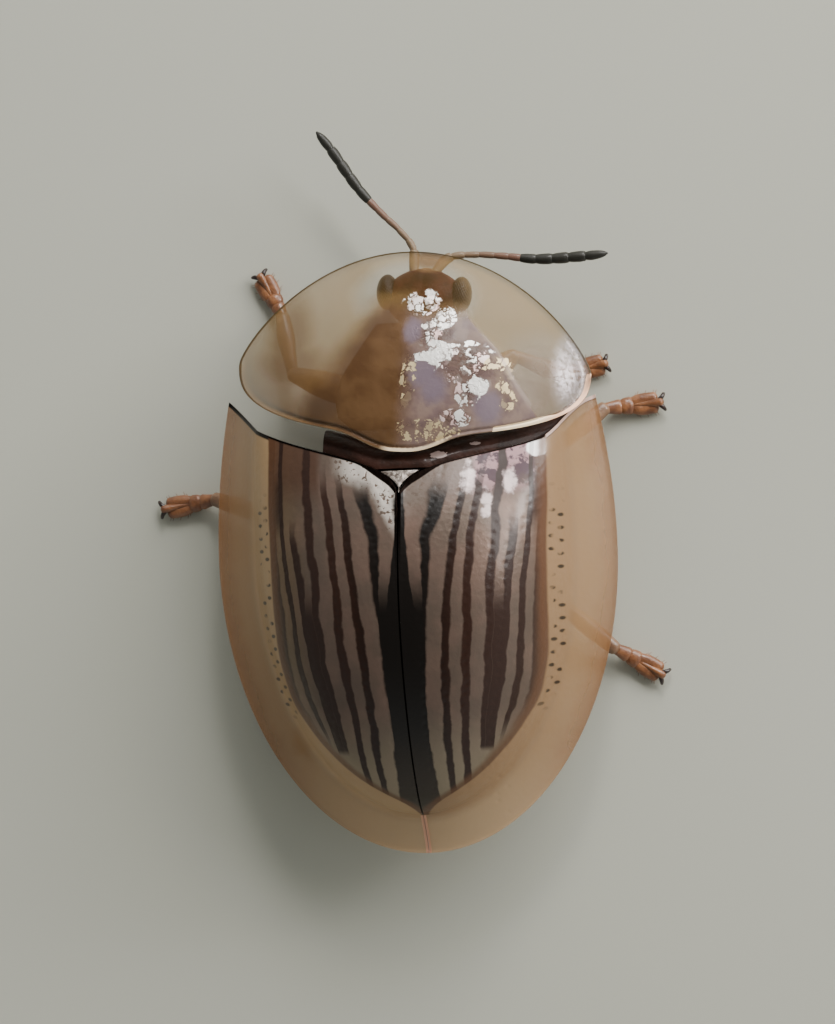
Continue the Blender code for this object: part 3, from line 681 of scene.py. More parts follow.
def shield_edges(x):
    cosine = np.sqrt(np.clip(1 - (x / SHIELD_HALF) ** 2, 0, None))
    front = SHIELD_WIDEST_Y - SHIELD_FRONT[0] * cosine ** SHIELD_FRONT[1]
    lobe = SHIELD_LOBE * np.exp(-(np.abs(x / SHIELD_LOBE_HALF) ** SHIELD_LOBE_POWER))
    return front, SHIELD_WIDEST_Y + SHIELD_BACK[0] * cosine ** SHIELD_BACK[1] + lobe * cosine


def shield_height(x, y):
    front, back = shield_edges(x)
    along = np.clip((y - front) / np.maximum(back - front, 1e-6), 0, 1)
    across = np.clip(1 - (np.abs(x) / (SHIELD_HALF + 0.02)) ** 2.2, 0, None) ** 0.9
    return RIM_Z + SHIELD_RIM_RISE + SHIELD_RISE * across * (1 - (1 - along) ** 2)


def turn_with_shield(points):
    """Turns points of the front body the way the animal looks."""
    cosine, sine = math.cos(SHIELD_YAW), math.sin(SHIELD_YAW)
    local = np.asarray(points, float) - SHIELD_PIVOT
    x = cosine * local[..., 0] - sine * local[..., 1]
    y = sine * local[..., 0] + cosine * local[..., 1]
    return np.stack([x, y, local[..., 2]], axis=-1) + SHIELD_PIVOT


# %% [markdown]
# Only the middle of the shield has body under it, and there it is far less clear. Its edges are two curves,
# one on each side, given as the width at a few distances from the front edge. Numpy joins those few numbers
# into a curve, and each point of the shield then stores how far inside that part it lies.

# %% The darker middle of the shield
FROM_FRONT = (0.00, 0.19, 0.45, 0.70, 0.88, 1.05, 1.20, 1.40, 1.66, 1.80, 2.20)
LEFT_WIDTH = (0.00, 0.20, 0.40, 0.42, 0.54, 0.64, 0.74, 0.90, 1.06, 1.14, 1.22)
RIGHT_WIDTH = (0.10, 0.32, 0.58, 0.63, 0.78, 0.95, 1.05, 1.17, 1.36, 1.45, 1.60)


def depth_inside(x, from_front):
    """How far inside the darker middle each point lies, in mm, and less than 0 outside it."""
    left, right = np.interp(from_front, FROM_FRONT, LEFT_WIDTH), np.interp(from_front, FROM_FRONT, RIGHT_WIDTH)
    return np.minimum(left - x, x + right)


# %% [markdown]
# The points run round the outline in spokes and come inwards in rings. A thickened rim and a shallow groove
# just inside it are added to the height, and outside the body's edge the surface drops by a small soft step.

# %% Build the shield
SHIELD_BEAD, SHIELD_GROOVE, BODY_STEP = 0.018, 0.022, 0.016
SHIELD_THICK, SHIELD_RIM_THICK = 0.13, 0.045


def build_shield(spokes=420, rings=90):
    angle = np.linspace(0, 2 * math.pi, spokes, endpoint=False)[None, :]
    edge_x = SHIELD_HALF * np.sin(angle)
    front, back = shield_edges(edge_x)
    edge_y = np.where(np.cos(angle) >= 0, front, back)
    share = (np.linspace(0.0, 1.0, rings) ** 0.8)[:, None]
    x, y = edge_x * share, lerp(SHIELD_CENTRE_Y, edge_y, share)
    from_front = y - (SHIELD_WIDEST_Y - SHIELD_FRONT[0])
    inside = depth_inside(x, from_front)
    z = shield_height(x, y) + SHIELD_BEAD * hump(1.0, 0.012, share)
    z = z - SHIELD_GROOVE * hump(0.955, 0.022, share)
    z = z - BODY_STEP * smooth_step(0.05, -0.15, inside) * smooth_step(0.5, 1.1, from_front)
    thick = lerp(SHIELD_THICK, SHIELD_RIM_THICK, smooth_step(0.2, 0.95, share))
    upper = np.stack([x + SHIELD_X, y, z], axis=2)
    lower = upper - np.stack([0 * x, 0 * x, np.broadcast_to(thick, x.shape)], axis=2)
    points = turn_with_shield(np.concatenate([upper, lower[::-1]]))
    faces = grid_faces(2 * rings, spokes, closed=True)
    layers = {"from_middle": x, "from_front": from_front,
              "to_rim": np.broadcast_to(share, x.shape), "inside": inside}
    attributes = {key: np.concatenate([values, values[::-1]]) for key, values in layers.items()}
    piece = make_piece("pronotum_shell", points, faces, attributes)
    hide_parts("pronotum")
    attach(piece, "root")
    return piece


shield = build_shield()

# %% [markdown]
# The shield is amber and clear towards its rim, with a fine dark line round the edge. Over the body it is brown
# on the left, darkened there by painted shade, and mauve on the right. On that lie small metallic patches:
# white ones that are partly painted highlights, crackled silver and gold ones, and lavender ones that are
# partly painted reflection. A grey patch on the right is a painted shadow, a pearly patch at the right rim is
# partly painted reflection, and a bright line at the rear of the rim is partly painted highlight. A patch starts
# as a soft oval, and noise gives it a torn edge.

# %% Finish of the shield
BRONZE = screen(114, 84, 56)
BRONZE_DARK = screen(94, 66, 42)
MAUVE = screen(130, 108, 106)
MAUVE_PALE = screen(150, 126, 116)
CLEAR_AMBER = screen(162, 130, 78)
CLEAR_DEEP = screen(146, 106, 60)
LEG_SHADE = screen(122, 94, 68)
LAVENDER_SHEEN = screen(134, 118, 130)
GOLD = screen(226, 202, 156)
WHITE_METAL_AND_GLINT = screen(255, 250, 244)
PINK_METAL = screen(236, 200, 194)
CRACK = screen(84, 62, 54)
CREAM_RIM_HIGHLIGHT = screen(250, 226, 190)
RIM_PINK_HIGHLIGHT = screen(238, 190, 156)
RIM_LINE = screen(74, 62, 44)
GREY_SHADOW = screen(152, 136, 122)
PEARL_GREY_SHEEN = screen(214, 204, 208)
ROOT_BROWN = screen(124, 94, 66)
ARC_PALE = screen(186, 166, 156)
# Where the painted shadow lies on the right of the shield.
GREY_SHADOW_PATCHES = (((-1.30, 1.50), (0.30, 0.38)), ((-1.42, 1.22), (0.30, 0.30)))
LEG_PATCHES = (((1.34, 0.98), (0.24, 0.42)), ((1.28, 1.26), (0.34, 0.20)))
RIM_PEARL_SHEEN, ROOT_PATCH = ((-1.74, 1.24), (0.17, 0.42)), ((-0.13, 0.08), (0.20, 0.12))
OVER_HEAD = ((-0.02, 0.52), (0.64, 0.42))
# Where the white patches lie, which are partly painted highlights.
WHITE_GLINT_PATCHES = (((-0.37, 0.74), (0.12, 0.12)), ((-0.35, 1.09), (0.15, 0.13)), ((-0.19, 1.15), (0.12, 0.05)),
                 ((-0.82, 1.44), (0.09, 0.10)))
CRACKLE_PATCHES = (((-0.13, 0.57), (0.18, 0.13)), ((-0.28, 0.90), (0.19, 0.14)), ((-0.66, 1.22), (0.27, 0.22)),
                   ((-0.69, 1.52), (0.13, 0.14)), ((-0.57, 1.80), (0.16, 0.09)))
GOLD_PATCHES = (((-0.97, 1.24), (0.14, 0.11)), ((-1.07, 1.42), (0.10, 0.15)), ((-1.12, 1.60), (0.08, 0.12)),
                ((-0.03, 1.48), (0.08, 0.30)), ((-0.27, 1.95), (0.30, 0.12)))
LAVENDER_SHEEN_PATCHES = (((-0.05, 0.87), (0.10, 0.14)), ((-0.20, 1.33), (0.14, 0.16)), ((-0.33, 1.50), (0.14, 0.16)),
                    ((-0.92, 1.69), (0.14, 0.18)))


def shield_finish():
    made = Finish("amber_shield", roughness=0.36, coat=0.5, Coat_Roughness=0.10, Specular_IOR_Level=0.1)
    x, y, rim = made.attribute("from_middle"), made.attribute("from_front"), made.attribute("to_rim")
    inside = made.attribute("inside")
    wave, fine = made.noise(0.35, 3.0) - 0.5, made.noise(0.05, 3.0) - 0.5
    right = 1 - (x + wave * 0.3).step(-0.20, 0.10)
    soft_edge, crisp_edge = (inside + wave * 0.15).step(-0.24, 0.16), (inside + fine * 0.03).step(-0.02, 0.02)
    body = right.blend(soft_edge, crisp_edge) * (y + wave * 0.2 + 0.06 - right * 0.11).step(0.46, 0.76)
    torn_place = made.warped(0.06, 0.13)
    cells = made.cells(0.10, "DISTANCE_TO_EDGE", torn_place).step(0.05, 0.13)
    chip = made.cells(0.10, "F1", torn_place, out=1)
    crackle_zone = patches(x, y, CRACKLE_PATCHES)
    gold_zone = patches(x, y, GOLD_PATCHES)
    near = crackle_zone.most(gold_zone).step(0.02, 0.15)
    # White metallic patches: partly silver flecks, partly painted highlights.
    white_glint_zone = patches(x, y, WHITE_GLINT_PATCHES)
    white_glint = (white_glint_zone + (chip - 0.5) * 0.9 + fine * 0.5).step(0.44, 0.50) * white_glint_zone.step(0.02, 0.15)
    white_glint = white_glint * cells.most((wave + 0.5).step(0.45, 0.50))
    crackle = (crackle_zone + (chip - 0.5) * 0.8 + fine * 0.7).step(0.45, 0.52)
    crackle = crackle * cells * chip.step(0.34, 0.40) * near
    gold = (gold_zone + (chip - 0.5) * 0.8 + fine).step(0.46, 0.54)
    gold = gold * cells * chip.step(0.36, 0.42) * near
    # Lavender patches: partly the shield's own tint, partly painted reflection.
    lavender_sheen = (patches(x, y, LAVENDER_SHEEN_PATCHES, 0.8) + wave * 0.6 + fine * 0.5).step(0.1, 0.9)
    # A pearly patch at the right rim: partly silvery cuticle, partly painted reflection.
    pearl_glint = patch(x, y, *RIM_PEARL_SHEEN, 0.45) * (fine + 0.5).step(0.2, 0.6)
    # A bluish grey patch on the right of the shield: painted shadow.
    grey_shadow = patches(x, y, GREY_SHADOW_PATCHES, 0.9)
    shade = patches(x, y, LEG_PATCHES, 0.6)
    # Over the body the left side is brown, darkened there by painted shade, and the right side is mauve.
    brown_and_shade = (wave + 0.5).step(0.35, 0.65).mix(BRONZE, BRONZE_DARK)
    ground = right.mix(brown_and_shade, (made.noise(0.15, 2.0)).step(0.35, 0.6).mix(MAUVE, MAUVE_PALE))
    ground = (crackle_zone.most(gold_zone * 0.6) * 0.6).mix(ground, CRACK)
    clear = (y + wave * 0.5).step(0.9, 1.7).mix(CLEAR_AMBER, CLEAR_DEEP)
    colour = body.mix((shade * 0.7).mix(clear, LEG_SHADE), ground)
    colour = (grey_shadow * (1 - body) * 0.8).mix(colour, GREY_SHADOW)
    colour = (lavender_sheen * 0.9).mix(colour, LAVENDER_SHEEN)
    colour = (pearl_glint * 0.9).mix(colour, PEARL_GREY_SHEEN)
    root = patch(x, y, *ROOT_PATCH)
    colour = (root * 0.8).mix(colour, ROOT_BROWN)
    colour = crackle.mix(colour, chip.step(0.45, 0.62).mix(PINK_METAL, WHITE_METAL_AND_GLINT))
    colour = gold.mix(colour, GOLD)
    colour = white_glint.mix(colour, WHITE_METAL_AND_GLINT)
    arc = inside.band(-0.03, 0.01, 0.02) * y.step(0.75, 0.95) * (1 - y.step(1.55, 1.75)) * (1 - x.step(-0.5, -0.4))
    colour = (arc * 0.7).mix(colour, ARC_PALE)
    # A bright cream and pink line at the right rear of the rim and on the rear lobe: partly pale rim, partly
    # painted highlight.
    far_right = 1 - x.step(-1.65, -1.42)
    rear_right = (rim - far_right * 0.035).step(0.930, 0.945) * (1 - x.step(-1.02, -0.94)) * y.step(1.2, 1.35)
    rear_lobe = (rim + fine * 0.03).step(0.952, 0.970) * (1 - abs(x + 0.15).step(0.25, 0.4)) * y.step(1.8, 1.95)
    rim_highlight = (rear_right + fine * 0.4).step(0.4, 0.6).most(rear_lobe)
    line = rim.step(0.984, 0.993) * (1 - rim_highlight)
    colour = (line * 0.85).mix(colour, RIM_LINE)
    colour = rim_highlight.mix(colour, far_right.mix(CREAM_RIM_HIGHLIGHT, RIM_PINK_HIGHLIGHT))
    made.feed(Base_Color=colour)
    metal = white_glint.most(crackle).most(gold)
    made.feed(Metallic=(metal * 0.4).most(lavender_sheen * 0.1).most(rim_highlight * 0.4).most(pearl_glint * 0.4))
    made.feed(Coat_Weight=metal.most(lavender_sheen * 0.4).most(pearl_glint) * 0.6 + 0.12)
    over_head = patch(x, y, *OVER_HEAD, 0.25)
    solid = body * 0.38 + 0.34 + shade * 0.24 - over_head * (1 - body) * 0.27
    solid = solid.most(metal).most(line * 0.85).most(rim_highlight * 0.9).most(arc * 0.6)
    made.feed(Alpha=solid.most(lavender_sheen * 0.75).most(pearl_glint * 0.6).most(grey_shadow * 0.58).most(root * 0.68))
    made.bump(fine * 0.5 + cells * crackle_zone * 0.6, 0.008)
    return made.material


shield.data.materials.append(shield_finish())
print("shield finish made")

# %% [markdown]
# ## Lathe work along a line
# Legs, feelers and mouth parts are all rounded rods whose thickness swells and narrows. One function lays rings
# along a smooth curve through a few points, each with its own radius, and rounds both ends. A curve object with
# a bevel could do it too, but rings leave room for flattened shapes and for attributes.

# %% Rods along a curve


def smooth_route(controls, steps):
    """Points on a curve through the controls; a fourth number of each control is its radius."""
    controls = np.asarray(controls, float)
    padded = np.vstack([2 * controls[0] - controls[1], controls, 2 * controls[-1] - controls[-2]])
    route = []
    for a, b, c, d in zip(padded, padded[1:], padded[2:], padded[3:]):
        for t in np.linspace(0, 1, steps, endpoint=False):
            bend = 2 * b + (c - a) * t + (2 * a - 5 * b + 4 * c - d) * t**2 + (3 * b - a - 3 * c + d) * t**3
            route.append(0.5 * bend)
    return np.array([*route, controls[-1]])


def rod(controls, flat=1.0, sides=20, steps=8, round_end=0.7):
    """Points and faces of a closed rod with rounded ends, its height the share flat of its width."""
    route = smooth_route(controls, steps)
    centres, radii = route[:, :3], np.maximum(route[:, 3], 0.002)
    ahead = np.gradient(centres, axis=0)
    ahead /= np.linalg.norm(ahead, axis=1, keepdims=True)
    quarter = np.linspace(0, math.pi / 2, 6)[:-1]
    first = centres[0] - ahead[0] * radii[0] * round_end * np.cos(quarter)[:, None]
    last = centres[-1] + ahead[-1] * radii[-1] * round_end * np.cos(quarter[::-1])[:, None]
    centres = np.vstack([first, centres, last])
    radii = np.concatenate([radii[0] * np.sin(quarter) + 1e-4, radii, radii[-1] * np.sin(quarter[::-1]) + 1e-4])
    ahead = np.vstack([np.repeat(ahead[:1], 5, axis=0), ahead, np.repeat(ahead[-1:], 5, axis=0)])
    across = np.cross(ahead, (0, 0, 1.0))
    across /= np.linalg.norm(across, axis=1, keepdims=True)
    up = np.cross(across, ahead)
    turn = np.linspace(0, 2 * math.pi, sides, endpoint=False)[None, :, None]
    ring = across[:, None, :] * np.cos(turn) + up[:, None, :] * np.sin(turn) * flat
    points = centres[:, None, :] + ring * radii[:, None, None]
    return points.reshape(-1, 3), grid_faces(len(centres), sides, closed=True)


def join_parts(parts):
    """One list of points, faces and tints from many parts of points, faces and one tint."""
    points, faces, tints, start = [], [], [], 0
    for part_points, part_faces, tint in parts:
        outward = part_faces if volume(part_points, part_faces) > 0 else part_faces[:, ::-1]
        points.append(part_points)
        faces.append(outward + start)
        tints.append(np.broadcast_to(tint, len(part_points)))
        start += len(part_points)
    return np.concatenate(points), np.concatenate(faces), np.concatenate(tints)


def egg(centre, size, rings=26, sides=32, shape=None):
    """An ellipsoid that a function of its unit directions may reshape."""
    tilt = np.linspace(0.001, math.pi - 0.001, rings)[:, None]
    turn = np.linspace(0, 2 * math.pi, sides, endpoint=False)[None, :]
    ring = np.sin(tilt)
    unit = np.stack(np.broadcast_arrays(ring * np.cos(turn), ring * np.sin(turn), np.cos(tilt)), -1)
    reach = shape(unit) if shape else np.ones(unit.shape[:2])
    points = np.asarray(centre) + unit * np.asarray(size) * reach[..., None]
    return points.reshape(-1, 3), grid_faces(rings, sides, closed=True)


# %% [markdown]
# ## Feelers
# A feeler has eleven segments: a stout first one, a slim pale shaft and a darker, thicker club of five. Each
# segment is narrow at its root and widest near its end, so the outline looks like beads on a string.

# %% Build the feelers
FEELERS = {
    "antenna_left": ((-0.07, -3.06, 0.70), (-0.06, -3.34, 0.63), (0.10, -3.56, 0.60), (0.27, -3.73, 0.60),
                     (0.53, -4.03, 0.60), (0.80, -4.45, 0.62), (0.97, -4.68, 0.64)),
    "antenna_right": ((-0.30, -3.06, 0.70), (-0.46, -3.22, 0.64), (-0.75, -3.24, 0.60), (-1.06, -3.21, 0.60),
                      (-1.45, -3.16, 0.60), (-1.96, -3.17, 0.62), (-2.22, -3.19, 0.64)),
}
SEGMENT_LENGTHS = (1.7, 0.9, 1.1, 1.1, 1.0, 0.9, 1.1, 1.15, 1.15, 1.2, 1.7)
SEGMENT_RADII = (0.058, 0.042, 0.037, 0.038, 0.040, 0.043, 0.055, 0.061, 0.063, 0.061, 0.053)


def build_feeler(name, controls):
    route = smooth_route([(*point, 0.0) for point in controls], 12)[:, :3]
    walked = np.concatenate([[0], np.cumsum(np.linalg.norm(np.diff(route, axis=0), axis=1))])
    ends = np.concatenate([[0], np.cumsum(SEGMENT_LENGTHS)]) / sum(SEGMENT_LENGTHS) * walked[-1]
    parts = []
    for number, radius in enumerate(SEGMENT_RADII):
        start, stop = ends[number], ends[number + 1]
        places = lerp(start, stop, np.array([0.02, 0.3, 0.72, 0.95]))
        swell = (0.84, 0.95, 1.0, 0.92) if number < 10 else (0.86, 1.0, 0.75, 0.22)
        bead = [[*(np.interp(place, walked, route[:, axis]) for axis in range(3)), radius * share]
                for place, share in zip(places, swell)]
        parts.append((*rod(bead, sides=16, steps=6, round_end=0.5), number / 10))
    points, faces, tints = join_parts(parts)
    piece = make_piece(name + "_beads", points, faces, {"tint": tints})
    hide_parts(name)
    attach(piece, "root")
    return piece


feelers = [build_feeler(name, route) for name, route in FEELERS.items()]


def feeler_finish():
    made = Finish("feeler_horn", roughness=0.5, coat=0.2)
    segment = made.attribute("tint") + (made.noise(0.08) - 0.5) * 0.04
    shaft = segment.step(0.05, 0.5).mix(screen(130, 108, 82), screen(118, 84, 68))
    colour = segment.step(0.53, 0.57).mix(shaft, screen(36, 34, 26))
    made.feed(Base_Color=colour)
    made.bump(made.noise(0.015, 2.0), 0.004)
    return made.material


feeler_material = feeler_finish()
for piece in feelers:
    piece.data.materials.append(feeler_material)

# %% [markdown]
# ## Legs
# A leg is a stout thigh, a shin that widens to its end, and a foot of small heart-shaped segments, the third
# split into two broad lobes with a brush of hairs below, which let a leaf beetle walk on smooth leaves. Between
# the lobes rises the slim last segment with two curved dark claws.

# %% Build the legs
LEGS = {
    "leg_front_left": (1, (0.42, -1.66), (1.38, -2.02), (1.50, -2.66), (1.76, -3.15)),
    "leg_front_right": (-1, (0.42, -1.66), (1.10, -2.12), (1.58, -1.90), (2.09, -2.00)),
    "leg_middle_left": (1, (0.45, -0.55), (1.45, -0.36), (2.34, -0.67), (2.97, -0.58)),
    "leg_middle_right": (-1, (0.45, -0.55), (1.35, -0.95), (2.05, -1.50), (2.69, -1.55)),
    "leg_hind_left": (1, (0.45, 0.45), (1.25, 0.95), (1.38, 1.62), (1.49, 2.20)),
    "leg_hind_right": (-1, (0.45, 0.45), (1.36, 0.50), (2.06, 1.14), (2.59, 1.47)),
}
HIP_Z, KNEE_Z, ANKLE_Z = 0.42, 0.38, 0.19
THIGH, SHIN = (0.085, 0.155, 0.15, 0.085), (0.062, 0.080, 0.100, 0.080)
HIP_RADIUS, PAD_HALF = 0.17, 0.078


def limb(start, stop, radii, flat, lift=0.0):
    """A rod from start to stop with evenly spaced radii, arched up by lift."""
    shares = np.linspace(0, 1, len(radii))
    arch = np.array([0, 0, 1.0]) * lift
    return rod([[*(lerp(start, stop, s) + arch * math.sin(math.pi * s)), r] for s, r in zip(shares, radii)], flat)


def foot_parts(ankle, toe):
    """The four visible foot segments and the two claws."""
    flat_ahead = (toe - ankle) * (1, 1, 0)
    length = np.linalg.norm(flat_ahead)
    ahead = flat_ahead / length
    side = np.cross((0, 0, 1.0), ahead)

    def spot(share, sideways, height):
        place = ankle + ahead * length * share + side * sideways
        place[2] = height
        return place

    parts = [(*limb(spot(-0.02, 0, 0.17), spot(0.24, 0, 0.10), (0.058, 0.070, 0.086), 0.75), 0.3)]
    parts.append((*limb(spot(0.24, 0, 0.10), spot(0.42, 0, 0.075), (0.06, 0.092, 0.100), 0.7), 0.35))
    for way in (-1, 1):
        lobe = [[*spot(0.42, way * 0.026, 0.075), 0.056], [*spot(0.62, way * 0.044, 0.062), 0.076],
                [*spot(0.85, way * 0.052, 0.056), 0.068]]
        parts.append((*rod(lobe, flat=0.72), 0.45))
        claw = [[*spot(0.94, way * 0.020, 0.105), 0.026], [*spot(1.00, way * 0.056, 0.100), 0.025],
                [*spot(1.03, way * 0.088, 0.075), 0.018], [*spot(1.03, way * 0.098, 0.042), 0.006]]
        parts.append((*rod(claw, sides=12, steps=5), 1.0))
        parts.extend(brush(spot, way))
    parts.append((*limb(spot(0.50, 0, 0.085), spot(0.97, 0, 0.100), (0.030, 0.034, 0.050), 1.0), 0.3))
    return parts


def brush(spot, way):
    """Short stiff hairs round the edge of one foot lobe."""
    hairs = []
    for number in range(9):
        share = 0.50 + 0.045 * number
        reach = PAD_HALF * (0.7 + 0.3 * math.sin(number * 1.9)) + 0.025
        root, tip = spot(share, way * 0.080, 0.05), spot(share + 0.05, way * (0.050 + reach), 0.028)
        hairs.append((*rod([[*root, 0.006], [*tip, 0.002]], sides=5, steps=2), 0.55))
    return hairs


def build_leg(name):
    side, hip, knee, ankle, toe = LEGS[name]
    hip = np.array([side * hip[0], hip[1], HIP_Z])
    knee = np.array([side * knee[0], knee[1], KNEE_Z])
    ankle = np.array([side * ankle[0], ankle[1], ANKLE_Z])
    toe = np.array([side * toe[0], toe[1], 0.0])
    parts = [(*egg(hip, (HIP_RADIUS,) * 3), 0.05)]
    parts.append((*limb(hip, knee, THIGH, 0.85, lift=0.03), 0.0))
    parts.append((*limb(knee, ankle, SHIN, 0.8, lift=0.02), 0.12))
    parts.extend(foot_parts(ankle, toe))
    points, faces, tints = join_parts(parts)
    points[:, 2] = np.maximum(points[:, 2], 0.0)
    piece = make_piece(name + "_limb", points, faces, {"tint": tints})
    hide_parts(name)
    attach(piece, "root")
    return piece


legs = [build_leg(name) for name in LEGS]


def leg_finish():
    made = Finish("leg_horn", roughness=0.38, coat=0.5, Coat_Roughness=0.15, Subsurface_Weight=0.15,
                  Subsurface_Radius=(0.0002, 0.0001, 0.00005))
    tint = made.attribute("tint")
    cloud = made.noise(0.12, 4.0)
    horn = cloud.step(0.3, 0.7).mix(screen(160, 106, 68), screen(114, 70, 43))
    thigh = cloud.step(0.3, 0.7).mix(screen(152, 122, 94), screen(126, 96, 72))
    colour = tint.step(0.05, 0.25).mix(thigh, horn)
    colour = tint.step(0.8, 0.95).mix(colour, screen(40, 22, 16))
    made.feed(Base_Color=colour)
    made.bump(made.cells(0.03) * 0.4 + made.noise(0.02), 0.005)
    return made.material


leg_material = leg_finish()
for piece in legs:
    piece.data.materials.append(leg_material)

# %% [markdown]
# ## The body under the shell
# Seen from below, a beetle is armoured too: a chest plate with sockets for the legs, then the five rings of the
# abdomen, each overlapping the next like tiles. All of it is a stack of cross-sections, domed above to fit the
# wing cases and flatter below. The sections shrink to a point at each end, so the skin closes.

# %% Cross-sections of the body
BELLY_Z = 0.68


def section(y, half_width, top, edge, bottom, corners=72):
    angle = np.linspace(0, 2 * math.pi, corners, endpoint=False)
    across, height = np.cos(angle), np.sin(angle)
    above = edge + (top - edge) * dome(across)
    below = edge - (edge - bottom) * np.abs(height) ** 0.7
    return np.stack([half_width * across, np.full(corners, y), np.where(height >= 0, above, below)], axis=1)


def skin_of(sections):
    """Points and faces round a stack of sections, drawn together to a point at both ends."""
    ends = []
    for ring in (sections[0], sections[-1]):
        middle = ring.mean(axis=0)
        ends.append([middle + (ring - middle) * share for share in (0.02, 0.6, 0.92)])
    rings = ends[0] + list(sections) + ends[1][::-1]
    return np.concatenate(rings), grid_faces(len(rings), len(rings[0]), closed=True)


def room_under_shell(y):
    """Half width, top and edge height of the room below the wing cases."""
    inset, thickness, edge_drop, slack = 0.34, 0.48, 0.34, 0.1
    end = DISC_END - 0.7 * inset
    sine = np.clip(y / end, 0, 1)
    half = (DISC_HALF - inset) * math.sqrt(1 - sine**2)
    top = RIM_Z + float(crest_rise(np.array(y * DISC_END / end))) - thickness - SEAM
    edge = RIM_Z + lerp(EDGE_RISE, EDGE_RISE_TAIL, sine**2) - edge_drop
    return half - slack, top, edge


def case_front(x):
    """Y and Z of the front edge of the wing cases."""
    u = np.clip((np.abs(x) - HALF_SEAM) / (DISC_FRONT[0] - HALF_SEAM), 0, 1)
    v = np.clip((np.abs(x) - DISC_FRONT[0]) / (RIM_FRONT[0] - DISC_FRONT[0]), 0, 1)
    y = lerp(SUTURE_FRONT, DISC_FRONT[1], u) - base_bulge(u)
    z = RIM_Z + EDGE_RISE * (1 - v) ** MARGIN_HOLLOW + (crest_rise(y) - EDGE_RISE) * dome(u)
    forward = FRONT_SKEW * x / DISC_FRONT[0] + (x < 0) * corner_forward(-x)
    return y + v * (RIM_FRONT[1] - DISC_FRONT[1]) - forward, z


# %% [markdown]
# Between the shield and the wing cases a glossy dark band shows. It is the front of the middle body, and it
# follows the front edge of the wing cases and runs round the small triangle between them. On the beetle's
# right it reaches further out and narrows, as it does in the photograph.

# %% Build the middle body with its dark band
SCUTELLUM_FRONT = -0.90
BAND_ENDS, BAND_FULL, BAND_DEPTH, BAND_END_DROP = (-1.86, 0.87), 1.52, 0.24, 0.08
BAND_TAPER, BAND_END_SHARE = (1.42, 1.86), 0.35    # where the right end narrows, and to what share
BAND_GAP = 0.008                                   # between the band and the wing cases


def dark_band():
    sections = []
    for x in np.linspace(*BAND_ENDS, 90):
        out = min(1.0, (x / BAND_FULL) ** 2)
        depth = BAND_DEPTH * float(lerp(1.0, BAND_END_SHARE, smooth_step(*BAND_TAPER, -x)))
        edge_y, edge_z = (float(value) for value in case_front(np.array(x)))
        back = min(edge_y - BAND_GAP, SCUTELLUM_FRONT - 0.02)
        top = min(edge_z, RIM_Z + float(crest_rise(np.array(SCUTELLUM_FRONT)))) - 0.07 - BAND_END_DROP * out
        low = min(lerp(1.10, 0.86, out), top - 0.12)
        turn = np.linspace(0, math.pi / 2, 14)
        curve = [[x, back - depth * math.sin(a) ** 1.2, max(low, top - 0.30 * (1 - math.cos(a)))] for a in turn]
        sections.append(np.array([*curve, [x, back - depth, low - 0.01], [x, back - 0.06, low - 0.01]]))
    return skin_of(sections)


def middle_body():
    sections = []
    for y in np.linspace(-1.14, 0.72, 60):
        half, top, edge = room_under_shell(y)
        ring = section(y, half + 0.14 * min(0.0, y), top, edge, BELLY_Z)
        under = np.clip((edge - ring[:, 2]) / (edge - BELLY_Z), 0, 1)
        groove = 0.035 * hump(0, 0.06, ring[:, 0]) * under
        seam = 0.03 * hump(-0.08 - 0.25 * np.abs(ring[:, 0]), 0.04, y) * under
        ring[:, 2] += groove + seam
        sections.append(ring)
    return skin_of(sections)


def place_body_piece(name, node, parts):
    points, faces, tints = join_parts(parts)
    piece = make_piece(name, points, faces, {"tint": tints}, sharp=35)
    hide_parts(node)
    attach(piece, "root")
    return piece


body_pieces = [place_body_piece("thorax_plates", "thorax", [(*middle_body(), 0.3), (*dark_band(), 0.0)])]

# %% [markdown]
# The abdomen's rings step inwards one after another, and the front body under the shield carries the head.

# %% Build the abdomen and the front body


def abdomen():
    sections = []
    for ring in range(5):
        for share, step in ((0.0, 0.035), (0.05, 0.012), (0.14, 0.0), (0.5, -0.004), (0.85, 0.0), (0.97, 0.006)):
            along = math.sin((ring + share) / 5 * math.pi / 2)
            y = lerp(0.80, 2.48, along)
            half, top, edge = room_under_shell(y)
            low = lerp(BELLY_Z, edge - 0.12, along**3) + step
            sections.append(section(y, half - step, top - step, edge, low))
    return skin_of(sections)


def front_body():
    """The block under the shield, with a short neck in front and wider towards the back."""
    controls = ((-2.52, 0.33, 0.90), (-2.42, 0.41, 0.96), (-2.30, 0.50, 1.01), (-2.15, 0.61, 1.06),
                (-1.95, 0.75, 1.12), (-1.70, 0.83, 1.20), (-1.50, 0.80, 1.24), (-1.36, 0.64, 1.12))
    shares = np.linspace(0, len(controls) - 1, 36)
    columns = [np.interp(shares, range(len(controls)), [row[axis] for row in controls]) for axis in range(3)]
    sections = [section(y, half, top, 0.92, BELLY_Z) for y, half, top in zip(*columns)]
    points, faces = skin_of(sections)
    keel = 0.03 * hump(0, 0.07, points[:, 0]) * (points[:, 2] < 0.8)
    points[:, 2] -= keel
    return points, faces


body_pieces.append(place_body_piece("abdomen_rings", "abdomen", [(*abdomen(), 0.5)]))
body_pieces.append(place_body_piece("prothorax_block", "prothorax", [(*front_body(), 0.4)]))


